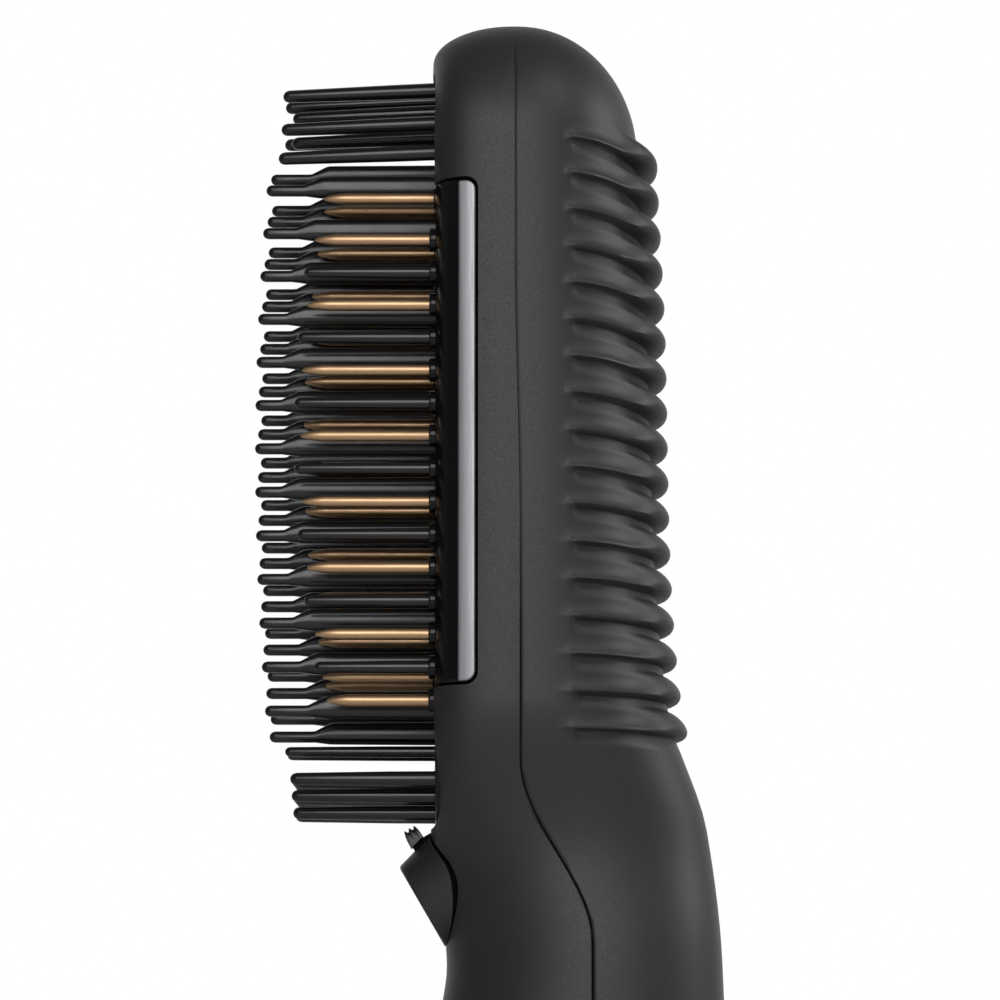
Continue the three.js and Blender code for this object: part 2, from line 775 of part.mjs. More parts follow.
// Closed spike along -X through [x, z shift, half width, half height] stations.
function spike(y, z, stations, sides = 6) {
  const positions = [];
  const indices = [];
  stations.forEach(([x, shift, halfWidth, halfHeight]) => {
    for (let side = 0; side < sides; side += 1) {
      const angle = ((side + 0.5) / sides) * 2 * Math.PI;
      positions.push(-x, y + halfWidth * Math.cos(angle), z + shift + halfHeight * Math.sin(angle));
    }
  });
  const rows = stations.length;
  for (let row = 0; row < rows - 1; row += 1) {
    for (let side = 0; side < sides; side += 1) {
      const a = row * sides + side;
      const b = row * sides + ((side + 1) % sides);
      indices.push(a, b + sides, b);
      indices.push(a, a + sides, b + sides);
    }
  }
  for (let side = 1; side < sides - 1; side += 1) {
    indices.push(0, side, side + 1);
    const tip = (rows - 1) * sides;
    indices.push(tip, tip + side + 1, tip + side);
  }
  return solid(closedGeometry(positions, indices));
}

function longPin(y, z) {
  const tip = onArc(longPinReach, longPinDrop, z);
  const step = onArc(longPinStepReach, stepDrop, z);
  return spike(y, z, [
    [combFaceX - pinRoot, longPinTipShift, longPinHalfWidth, longPinHalfHeight],
    [step - longPinStepLength, longPinTipShift, longPinHalfWidth * 0.9, longPinHalfHeight * 0.9],
    [step, 0, longPinTipRadius, longPinTipRadius],
    [tip - longPinTipRadius * 0.4, 0, longPinTipRadius, longPinTipRadius],
    [tip, 0, longPinTipRadius * 0.6, longPinTipRadius * 0.6],
  ]);
}

function plainPin(y, z, tip, radius, tipRadius, lean = 0) {
  return spike(y, z, [
    [combFaceX - pinRoot, lean, radius, radius],
    [tip - tipRadius, 0, tipRadius, tipRadius],
    [tip, 0, tipRadius * 0.5, tipRadius * 0.5],
  ]);
}

const count = (length, place) => Array.from({ length }, (_, i) => place(i));
const bothSides = (y, z) => (y === 0 ? [[0, z]] : [[-y, z], [y, z]]);

function longPinPlaces() {
  const middle = count(middleRows, (i) => [0, longPinFirstZ + i * longPinPitch]);
  const sides = count(middleRows - 1, (i) => bothSides(longPinColumnY, longPinFirstZ + (i + 0.5) * longPinPitch));
  return [...middle, ...sides.flat()];
}

// Places of the outer columns: the even ones are heated teeth, the odd ones plain pins.
function outerPlaces(odd) {
  const steps = count(outerSteps, (i) => i).filter((i) => i % 2 === odd);
  return steps.flatMap((i) => bothSides(outerColumnY, headZ + i * outerPitch));
}

function innerPlaces() {
  const rows = count(middleRows - 2, (i) => longPinFirstZ + innerToothRise + (i + 1) * longPinPitch);
  return rows.flatMap((z) => bothSides(innerToothY, z));
}

const heatedPlaces = () => [...outerPlaces(0), ...innerPlaces(), ...endToothZs.flatMap((z) => bothSides(endToothY, z))];

function endPins() {
  const pins = (rows, firstZ, pitch, reachOut, lean) => rows.flatMap((ys, row) => ys
    .flatMap((y) => bothSides(y, firstZ + row * pitch))
    .map(([y, z]) => plainPin(y, z, onArc(reachOut, endPinDrop, z), endPinRadius, endPinTipRadius, lean)));
  const short = shortPinMargins.map((margin) => brushLength - margin);
  return [
    ...pins(endRowsTop, brushLength - endRowTopMargin, -endRowPitchTop, endPinReach, endPinLean),
    ...pins(endRowsBottom, combLowZ + endRowBottomRise, endRowPitchBottom, endPinReachLow, 0),
    ...short.map((z) => plainPin(0, z, onArc(shortPinReach, endPinDrop, z), endPinRadius, endPinTipRadius, endPinLean)),
    ...bothSides(lastPinY, longPinFirstZ - lastPinDrop).map(([y, z]) => plainPin(y, z, onArc(lastPinReach, endPinDrop, z), lastPinRadius,
      lastPinRadius * 0.85)),
  ];
}

// Lip behind the shell's front wall, grown by gap on every side.
function lipPlate(gap) {
  const half = combEndHalfWidth + combLipWidth + gap;
  const front = shellWall - headFront + seatGap - gap;
  const back = front + combLipThickness + 2 * gap;
  const whole = panel(front, back, half, combLipLowZ - gap, combHighZ + combLipWidth + gap, combCornerRadius);
  const heaterSpan = box(front - 1, back + 1, -beyond, beyond, stackLowZ - 2 * seatGap + gap, stackHighZ + 2 * seatGap - gap);
  return whole.subtract(heaterSpan).intersect(bodyWithin(shellWall + seatGap - gap, hollowSides));
}

function guardComb() {
  const trayBackX = -windowDepthX - trimWidth - 2 * windowGap;
  const span = windowGap;
  const trayBox = box(-combFaceX, trayBackX, -beyond, beyond, windowLowZ + span, windowHighZ - span);
  const trayRoom = box(-combBackX, 0, -trayHalfWidth, trayHalfWidth, stackLowZ, stackHighZ);
  const tray = outer.intersect(trayBox).subtract(trayRoom);
  const strip = combPanel(-combFaceX, -combBackX, 0).intersect(outer);
  const pins = [
    ...longPinPlaces().map(([y, z]) => longPin(y, z)),
    ...outerPlaces(1).map(([y, z]) => plainPin(y, z, onArc(outerPinReach, stepDrop, z), outerPinRadius,
      outerPinRadius * 0.8)),
    ...endPins(),
  ];
  const holeRadius = toothRadius + toothHoleGap;
  const collarRadiusOut = holeRadius + collarWall;
  const collars = [...outerPlaces(0), ...outerPlaces(1)].map(([y, z]) => spike(y, z, [
    [combFaceX - pinRoot, 0, collarRadiusOut, collarRadiusOut],
    [combFaceX + collarHeight, 0, collarRadiusOut, collarRadiusOut],
  ]));
  const holes = heatedPlaces().map(([y, z]) => spike(y, z, [
    [combBackX - 4, 0, holeRadius, holeRadius],
    [combFaceX + 3, 0, holeRadius, holeRadius],
  ], 6));
  const podRoom = podHole().add(inPod(rod(podFlangeRadius + seatGap, podFlangeDepth - 2, podBackDepth + seatGap, 24)));
  return union([tray, strip, lipPlate(0), ...collars])
    .subtract(union([podRoom, ...holes]))
    .add(union(pins));
}

// Heater stack
const heaterFrontX = -combBackX + seatGap;
const filmX = heaterFrontX + heaterThickness + seatGap;
const elementX = filmX + filmThickness + seatGap;
const electrodeX = elementX + elementThickness + seatGap;
const micaX = electrodeX + electrodeThickness + seatGap;
const springX = micaX + micaThickness + seatGap;
const springCrownX = () => springX + springRise + springThickness;

function heaterPlate() {
  const base = box(heaterFrontX, heaterFrontX + heaterThickness, -heaterHalfWidth, heaterHalfWidth,
    stackLowZ, stackHighZ);
  const teeth = heatedPlaces().map(([y, z]) => {
    const tip = onArc(toothReach, stepDrop, z);
    return spike(y, z, [
      [-heaterFrontX - 0.5, 0, toothRadius, toothRadius],
      [tip - toothBevel, 0, toothRadius, toothRadius],
      [tip, 0, toothRadius * 0.3, toothRadius * 0.3],
    ]);
  });
  return base.add(union(teeth));
}

function layer(x, thickness, halfWidth, lowZ, highZ) {
  return box(x, x + thickness, -halfWidth, halfWidth, lowZ, highZ);
}

function electrodeStrip() {
  const half = elementHalfWidth - 0.5;
  const tabs = [-1, 1].map((side) => {
    const inner = side * (half - electrodeTabWidth);
    const outerEdge = side * half;
    return box(electrodeX, electrodeX + electrodeThickness, Math.min(inner, outerEdge), Math.max(inner, outerEdge),
      stackLowZ - electrodeTab, stackLowZ + 3);
  });
  return union([layer(electrodeX, electrodeThickness, half, stackLowZ + 2, stackHighZ - 2), ...tabs]);
}

function elementPlace(index) {
  const middle = stackMidZ + (index - (elementCount - 1) / 2) * elementPitch;
  return layer(elementX, elementThickness, elementHalfWidth, middle - elementLength / 2, middle + elementLength / 2);
}

// Bowed strip with flat feet on the mica.
function clampSpring() {
  const steps = 10;
  const line = (offset) => Array.from({ length: steps + 1 }, (_, i) => {
    const t = i / steps;
    const bow = springRise * Math.sin(Math.PI * t) ** 2;
    return [springX + bow + offset, stackMidZ + lerp(-springHalfLength, springHalfLength, t)];
  });
  return plateY([...line(0), ...line(springThickness).reverse()], -springHalfWidth, springHalfWidth);
}

function onFilm(radius, length, y, z) {
  const geometry = rod(radius, z - length / 2, z + length / 2, 12);
  geometry.translate(elementX + radius, y, 0);
  return solid(geometry);
}

// Side trim, cut from the body so that its face follows the shell.
function sideTrim(side) {
  const back = -windowDepthX - windowGap;
  const low = windowLowZ + windowGap;
  const high = windowHighZ - windowGap;
  const strip = outer.subtract(bodyWithin(trimThickness));
  const near = Math.min(side * headHalfWidth * 0.5, side * beyond);
  const place = box(back - trimWidth, back, near, near + beyond - headHalfWidth * 0.5, low, high);
  return strip.intersect(place);
}

// Grip electronics
const boardScrewZs = () => [boardFootZ + boardScrewInset, boardHighZ - boardScrewInset];
const partsRoom = boardHighZ - boardFootZ - 2 * boardEndRoom - moduleLength - capacitorLength - transistorLength;
const partsGap = partsRoom / 4;
const moduleZ = boardFootZ + boardEndRoom + partsGap;
const capacitorZ = moduleZ + moduleLength + partsGap;
const transistorZ = capacitorZ + capacitorLength + partsGap;
const partsX = boardX - seatGap;

function controlBoard() {
  const plate = box(boardX, boardX + boardThickness, -boardHalfWidth, boardHalfWidth, boardFootZ, boardHighZ);
  const holes = boardScrewZs().map((z) => rodX(screwHoleRadius, boardX - 1, boardX + 4, 0, z, 12));
  return plate.subtract(union(holes));
}

function capacitor() {
  const geometry = rod(capacitorRadius, capacitorZ, capacitorZ + capacitorLength, 20);
  geometry.translate(partsX - capacitorRadius, 0, 0);
  return solid(geometry);
}

// Screw along +X: its head's seat is at x, its shank runs to the given side.
function screw(x, z, length, side) {
  const head = rodX(screwHeadRadius, Math.min(x, x - side * screwHeadHeight), Math.max(x, x - side * screwHeadHeight),
    0, z, 12);
  const shank = rodX(screwRadius, Math.min(x - side * 0.5, x + side * length), Math.max(x - side * 0.5,
    x + side * length), 0, z, 8);
  return head.add(shank);
}

function screwCover(z) {
  const plug = rodX(recessRadius - seatGap, backLine(z) - coverThickness, beyond, 0, z, 20);
  return plug.intersect(bodyWithin(0.1));
}

// Grip end
function endCap() {
  const flange = loft([0, capEdge, capFlange], (z, angle) => {
    const inset = capReveal + (z < capEdge ? capEdge - z : 0);
    const [x, y] = sectionPoint(0, angle, inset);
    return [x, y, z];
  });
  const spigotOuter = loft([capFlange - 0.5, capFlange + capSpigot], (z, angle) => sectionPoint(z, angle,
    shellWall + seatGap), { sides: hollowSides });
  const spigotInner = solid(rod(capSpigotBore(), capFlange, capFlange + capSpigot + beyond, 24));
  const bore = solid(rod(collarRadius + runGap, -beyond, beyond, 24));
  return flange.add(spigotOuter.subtract(spigotInner)).subtract(bore);
}

const capSpigotBore = () => Math.min(gripEndFront, gripEndHalfWidth) - shellWall - seatGap - capSpigotWall;

function swivelCollar() {
  const flangeLow = capFlange + runGap;
  const flangeHigh = flangeLow + collarFlangeThickness;
  return solid(turned([
    [cordBoreRadius + 0.5, collarRecess],
    [collarRadius - 0.5, collarRecess],
    [collarRadius, collarRecess + 0.5],
    [collarRadius, flangeLow],
    [collarFlangeRadius, flangeLow],
    [collarFlangeRadius, flangeHigh],
    [collarNeckRadius, flangeHigh],
    [collarNeckRadius, collarTopZ],
    [cordBoreRadius, collarTopZ],
    [cordBoreRadius, collarRecess + 0.5],
    [cordBoreRadius + 0.5, collarRecess],
  ], 24));
}

function retainingRing() {
  const low = capFlange + runGap + collarFlangeThickness + runGap;
  return solid(ring(collarNeckRadius + runGap, capSpigotBore() - seatGap, low, low + ringThickness, 24));
}

// Leads run inside the grip; their points are chosen by hand.
function lead(points, radius) {
  const path = new THREE.CatmullRomCurve3(points.map(([x, y, z]) => new THREE.Vector3(x, y, z)));
  return solid(tubeAlong(path, radius, 9, 6));
}

function supplyLead(side) {
  const endX = partsX - supplyLeadRadius - 0.2;
  return lead([
    [0, side * supplyLeadY, collarTopZ + 2 * seatGap],
    [-0.2, side * 5.8, collarTopZ + 10],
    [-2, side * 7.4, boardFootZ - 6],
    [endX, side * 8, boardFootZ + 6],
  ], supplyLeadRadius);
}

function heaterLead(side) {
  const startX = partsX - heaterLeadRadius - 0.2;
  const endX = electrodeX + electrodeThickness + seatGap + heaterLeadRadius;
  return lead([
    [startX, side * 7.5, boardHighZ - 8],
    [startX - 0.6, side * leadSideY, neckZ],
    [-3, side * leadSideY, shoulderZ],
    [endX + 0.6, side * 8.4, windowLowZ - 5],
    [endX, side * 5.2, stackLowZ - electrodeTab + 2.6],
  ], heaterLeadRadius);
}

// Materials
const finishes = {
  shell: { color: 0x3a3a3c, roughness: 0.62, metalness: 0 },
  gloss: { color: 0x101014, roughness: 0.22, metalness: 0 },
  bronze: { color: 0xa9743c, roughness: 0.3, metalness: 0.9 },
  satin: { color: 0xa9a9ab, roughness: 0.4, metalness: 0.85 },
  steel: { color: 0x8d9094, roughness: 0.35, metalness: 0.9 },
  brass: { color: 0xb79a52, roughness: 0.35, metalness: 0.9 },
  board: { color: 0x1d5a36, roughness: 0.5, metalness: 0 },
  ceramic: { color: 0xd9d4c8, roughness: 0.7, metalness: 0 },
  mica: { color: 0xb89f76, roughness: 0.5, metalness: 0 },
  film: { color: 0xb5762a, roughness: 0.35, metalness: 0 },
  black: { color: 0x1c1c1e, roughness: 0.5, metalness: 0 },
  red: { color: 0x8f1f1c, roughness: 0.55, metalness: 0 },
  white: { color: 0xd8d8d6, roughness: 0.55, metalness: 0 },
};

const pieces = [
  ['front_shell', frontShell(), 'shell'],
  ['rear_shell', rearShell(), 'shell'],
  ['guard_comb', guardComb(), 'gloss'],
  ['heater_plate', heaterPlate(), 'bronze'],
  ['side_trim_near', sideTrim(-1), 'satin'],
  ['side_trim_far', sideTrim(1), 'satin'],
  ['insulation_film', layer(filmX, filmThickness, heaterHalfWidth - 0.4, stackLowZ + 0.4, stackHighZ - 0.4), 'film'],
  ...Array.from({ length: elementCount }, (_, i) => [`heating_element_${i + 1}`, elementPlace(i), 'ceramic']),
  ['electrode_strip', electrodeStrip(), 'brass'],
  ['mica_sheet', layer(micaX, micaThickness, elementHalfWidth + 1, stackLowZ, stackHighZ), 'mica'],
  ['clamp_spring', clampSpring(), 'steel'],
  ['thermistor', onFilm(thermistorRadius, thermistorLength, -sensorY, stackMidZ - 14), 'black'],
  ['thermal_fuse', onFilm(fuseRadius, fuseLength, sensorY, stackMidZ), 'steel'],
  ['control_pod', controlPod(), 'shell'],
  ['power_button', powerButton(), 'shell'],
  ['button_spring', buttonSpring(), 'steel'],
  ['heat_slide_knob', slideKnob(), 'black'],
  ['switch_board', switchBoard(), 'board'],
  ['tact_switch', tactSwitch(), 'steel'],
  ['slide_switch', slideSwitch(), 'black'],
  ['control_board', controlBoard(), 'board'],
  ['power_module', box(partsX - moduleDepth, partsX, -moduleHalfWidth, moduleHalfWidth, moduleZ,
    moduleZ + moduleLength), 'black'],
  ['capacitor', capacitor(), 'film'],
  ['power_transistor', box(partsX - transistorDepth, partsX, -transistorHalfWidth, transistorHalfWidth,
    transistorZ, transistorZ + transistorLength), 'black'],
  ...boardScrewZs().map((z, i) => [`board_screw_${i + 1}`, screw(partsX, z, boardScrewLength, 1), 'steel']),
  ['end_cap', endCap(), 'black'],
  ['swivel_collar', swivelCollar(), 'black'],
  ['retaining_ring', retainingRing(), 'steel'],
  ...gripScrewZs.map((z, i) => [`grip_screw_${i + 1}`, screw(gripScrewFloorX + seatGap, z, gripScrewLength - 1, -1),
    'steel']),
  ...gripScrewZs.map((z, i) => [`screw_cover_${i + 1}`, screwCover(z), 'shell']),
  ...headScrewZs.map((z, i) => [`head_screw_${i + 1}`, screw(bridgeX - seatGap, z, headScrewLength + 1, 1), 'steel']),
  ...[-1, 1].map((side, i) => [`supply_lead_${i + 1}`, supplyLead(side), i ? 'white' : 'black']),
  ...[-1, 1].map((side, i) => [`heater_lead_${i + 1}`, heaterLead(side), i ? 'white' : 'red']),
];

const brush = new THREE.Group();
pieces.forEach(([name, body, finish]) => {
  const mesh = new THREE.Mesh(geometryOf(body), new THREE.MeshStandardMaterial(finishes[finish]));
  mesh.name = name;
  brush.add(mesh);
});

// The origin is the middle of the brush's footprint, at the level that it stands on.
const extent = new THREE.Box3().setFromObject(brush);
brush.position.set(-(extent.min.x + extent.max.x) / 2, -(extent.min.y + extent.max.y) / 2, -extent.min.z);
brush.updateMatrixWorld(true);

export default brush;
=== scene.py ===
"""Finished surfaces of a hair straightening brush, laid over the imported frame.

Shapes are worked out in millimetres, with X measured from the grip's axis, Y across the brush and Z up
from the face that it stands on. The pins point to -X. Meshes are stored in metres in the frame's own place.
"""
import json
import math

import bmesh
import bpy
import numpy as np
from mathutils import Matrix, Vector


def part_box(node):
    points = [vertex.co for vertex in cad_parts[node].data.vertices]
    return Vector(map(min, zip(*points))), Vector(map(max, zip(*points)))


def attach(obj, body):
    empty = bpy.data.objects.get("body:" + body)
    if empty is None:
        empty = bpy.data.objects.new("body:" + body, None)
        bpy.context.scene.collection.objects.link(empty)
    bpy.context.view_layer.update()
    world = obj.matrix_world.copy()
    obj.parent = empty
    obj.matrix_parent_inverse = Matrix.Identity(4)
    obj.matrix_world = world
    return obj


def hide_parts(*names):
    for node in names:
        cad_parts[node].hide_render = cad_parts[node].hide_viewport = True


bl_info = {
    "name": "Straightening Brush Surfaces",
    "version": (1, 0, 0),
    "blender": (4, 5, 0),
    "location": "View3D > Sidebar > Brush",
    "description": "Builds the shells, comb, heated teeth, trims, pod and grip end of a straightening brush",
    "category": "Add Mesh",
}

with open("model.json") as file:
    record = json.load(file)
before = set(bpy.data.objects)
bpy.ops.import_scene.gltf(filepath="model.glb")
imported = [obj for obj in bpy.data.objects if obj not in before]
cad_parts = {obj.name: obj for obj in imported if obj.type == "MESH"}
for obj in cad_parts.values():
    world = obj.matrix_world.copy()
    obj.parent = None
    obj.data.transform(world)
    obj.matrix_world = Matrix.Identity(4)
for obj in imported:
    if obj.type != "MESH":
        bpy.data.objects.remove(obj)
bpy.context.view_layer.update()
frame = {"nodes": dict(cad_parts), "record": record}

MM = 0.001
collar_low, collar_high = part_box("swivel_collar")
AXIS = (collar_low.x + collar_high.x) / 2 / MM

# Places that several pieces share, in millimetres
SHELL_FOOT = 3.3       # lower edge of the shells, over the end cap's flange
LOW_COVER = 26         # height of the lower screw cover
WINDOW_BACK = -12.5    # back edge of the side windows
PIN_SINK = 0.4         # depth of a pin's root in the comb's face
FIRST_PIN = 3.5        # lowest pin of the middle column, below the head's foot
LAST_PIN = 18.3        # room between the highest one and the crown
LAST_TOOTH = 22.75     # the upper end teeth, below the crown
LONG_COLUMN = 6.0      # outer columns of long pins, from the middle
INNER_COLUMN = 3.0     # inner columns of heated teeth
OUTER_COLUMN = 10.6    # columns in which teeth and plain pins alternate
END_COLUMN = 8.3       # teeth at both ends of the outer columns
POD_SKIRT = 5.0        # depth at which the pod's flank stops growing
KNOB_DEPTH = 3.35      # the slide knob's middle behind the pod's face
KNOB_HALF = 0.975      # half its length along the travel
KNOB_TRAVEL = 0.7      # its travel either way

OVAL = 2.3             # exponent of a soft oval section
TOOTH_ARC = 0.0031     # how the teeth's reach falls off with the squared distance from the field's middle
ROUND_SIDES = 96       # points round a turned piece


# Sizes and colours

def to_linear(hex_colour):
    """Linear channels of an sRGB hex colour: each channel c becomes ((c + 0.055) / 1.055) to the 2.4."""
    channels = np.array([int(hex_colour[i:i + 2], 16) for i in (1, 3, 5)]) / 255
    linear = np.where(channels <= 0.04045, channels / 12.92, ((channels + 0.055) / 1.055) ** 2.4)
    return tuple(float(value) for value in linear)


def number(name, value, description, **kind):
    """A size whose unit or subtype says what it measures, or a plain number."""
    return bpy.props.FloatProperty(name=name, description=description, default=value, **kind)


def length(name, size_mm, description):
    """A length that the sidebar shows in the scene's unit."""
    return number(name, size_mm * MM, description, precision=5, unit="LENGTH")


def colour(name, hex_colour, description):
    """A surface colour, kept linear."""
    return bpy.props.FloatVectorProperty(name=name, description=description, default=to_linear(hex_colour),
                                         subtype="COLOR", size=3, min=0, max=1)


class BrushBodySizes(bpy.types.PropertyGroup):
    """The two shells and their ribs."""
    grip_length: length("Grip length", 155, "From the end cap to the neck")
    neck_length: length("Neck length", 31, "From the grip to the head")
    head_length: length("Head length", 83.4, "From the neck to the crown")
    wall: length("Shell wall", 2.2, "Thickness of the moulded wall")
    seam_gap: length("Seam gap", 0.12, "Width of the line between the two shells")
    seam_roll: length("Seam edge radius", 0.22, "Rounding of the shell edges along the seam")
    rib_count: bpy.props.IntProperty(name="Ribs", description="Grip ribs behind the head", default=17)
    rib_pitch: length("Rib pitch", 4.22, "Distance from rib to rib")
    rib_drop: length("First rib", 2.45, "How far the lowest rib lies below the head's foot")
    rib_height_low: length("Lowest rib height", 1.65, "Height of the lowest rib over the shell")
    rib_height_high: length("Highest rib height", 2.4, "Height of the highest rib over the shell")
    rib_half: length("Rib half thickness", 1.58, "Half the thickness of a rib behind the head")
    rib_sweep: length("Rib sweep", 2.5, "How much higher a rib starts on the side than it lies behind")
    rib_start: length("Rib start", -1.6, "Where the ribs rise from the side, measured from the grip's axis")
    shell_colour: colour("Shell colour", "#202022", "Soft-touch paint on the shells")


class CombSizes(bpy.types.PropertyGroup):
    """The guard comb with its pins."""
    face: length("Comb face", 17.6, "How far the comb's face lies in front of the grip's axis")
    thickness: length("Comb thickness", 2.4, "Thickness of the comb's strip")
    half_width: length("Comb half width", 12.2, "Half the width of the strip's ends")
    corner: length("Comb corner", 8, "Corner radius of the strip's ends")
    pin_pitch: length("Long pin pitch", 5.25, "Distance between long pins in a column")
    pin_reach: length("Long pin reach", 39.3, "How far the longest tip lies in front of the grip's axis")
    pin_tip_radius: length("Pin tip radius", 0.68, "Radius of the thin tip of a long pin")
    comb_colour: colour("Comb colour", "#08080a", "Glossy moulded tray")
    pin_colour: colour("Pin colour", "#0d0d0f", "Moulded pins")


class HeatedToothSizes(bpy.types.PropertyGroup):
    """The heated teeth."""
    radius: length("Tooth radius", 0.74, "Radius of a heated tooth")
    reach: length("Tooth reach", 33.6, "How far the longest tooth lies in front of the grip's axis")
    outer_pitch: length("Outer column pitch", 3.94, "From a tooth to the next plain pin in the outer columns")
    tooth_colour: colour("Tooth colour", "#b4926e", "Bronze coating of the teeth")


class TrimSizes(bpy.types.PropertyGroup):
    """The strips in the side windows."""
    width: length("Trim width", 2.1, "Width of a strip")
    thickness: length("Trim thickness", 1.7, "Depth of a strip into the side")
    corner: length("Trim corner", 1.25, "Radius of the corners towards the back")
    trim_colour: colour("Trim colour", "#b0b0b4", "Satin metal")


class PodSizes(bpy.types.PropertyGroup):
    """The control pod with its button and slide knob."""
    tilt: number("Pod tilt", math.radians(30.3), "How far the pod's axis tips down", subtype="ANGLE")
    face_radius: length("Pod face radius", 5.55, "Radius of the flat face")
    taper: number("Pod taper", 0.28, "Growth of the pod's radius with depth")
    button_radius: length("Button radius", 4.05, "Radius of the power button")
    knob_height: length("Knob height", 1.7, "Height of the slide knob over the pod's flank")
    stand_off: length("Pod stand-off", 0.15, "Gap between the pod's head and the shell")
    button_colour: colour("Button colour", "#17171a", "Button and slide knob")
    # This colour is painted shade: a near-black for the gaps round the pod's head and behind the trims, which
    # are dark only from shadow; the slide track uses it too.
    gasket_colour: colour("Gasket colour", "#050506", "Rubber under the pod's head and behind the trims")


class GripEndSizes(bpy.types.PropertyGroup):
    """The end cap and the cord collar."""
    flange: length("Cap flange", 3, "Visible height of the end cap")
    collar_radius: length("Collar radius", 6, "Radius of the swivelling cord collar")
    cap_colour: colour("Cap colour", "#121214", "End cap and cord collar")


class StageLook(bpy.types.PropertyGroup):
    """Floor, lamps and camera."""
    floor_colour: colour("Floor colour", "#e9e9ea", "Plain pale floor")
    key_power: number("Key light", 5.0, "Power of the softbox above the camera", unit="POWER")
    side_power: number("Side light", 4.0, "Power of the softbox beside the ribs", unit="POWER")
    top_power: number("Top light", 1.5, "Power of the softbox over the head", unit="POWER")
    surround: number("Surround", 0.16, "Strength of the room's soft light")
    camera_pitch: number("Camera pitch", math.radians(7.7), "How far the camera looks up", subtype="ANGLE")
    camera_distance: length("Camera distance", 490, "From the camera to the brush's middle plane")
    camera_height: length("Camera height", 145, "Height of the camera over the brush's foot")
    camera_ahead: length("Camera shift", 9.93, "How far the camera stands ahead of the grip's axis")
    focal_length: number("Focal length", 146.988, "Lens on a 36 mm wide sensor", unit="CAMERA")


def millimetres(group):
    """The group's values by name, with its lengths in millimetres."""
    values = {}
    for key, entry in group.bl_rna.properties.items():
        if key in ("rna_type", "name"):
            continue
        value = getattr(group, key)
        values[key] = value / MM if getattr(entry, "unit", "") == "LENGTH" else value
    return values


# Outline of the body

def smooth(low, high, value):
    """Rises from 0 at low to 1 at high as 3 t squared less 2 t cubed."""
    t = np.clip((value - low) / (high - low), 0, 1)
    return t * t * (3 - 2 * t)


def curve(stations):
    """Cubic through [height, value] stations, whose slope at each is the harmonic mean of its neighbours."""
    z, v = np.array(stations, float).T
    slope = np.diff(v) / np.diff(z)
    product = slope[:-1] * slope[1:]
    total = slope[:-1] + slope[1:]
    tangent = np.zeros(len(z))
    rising = product > 0
    tangent[1:-1][rising] = 2 * product[rising] / total[rising]

    def at(height):
        h = np.clip(height, z[0], z[-1])
        i = np.clip(np.searchsorted(z, h, side="right") - 1, 0, len(z) - 2)
        span = z[i + 1] - z[i]
        t = (h - z[i]) / span
        ease = v[i] + (v[i + 1] - v[i]) * t * t * (3 - 2 * t)
        return ease + t * (1 - t) ** 2 * span * tangent[i] + t * t * (t - 1) * span * tangent[i + 1]
    return at


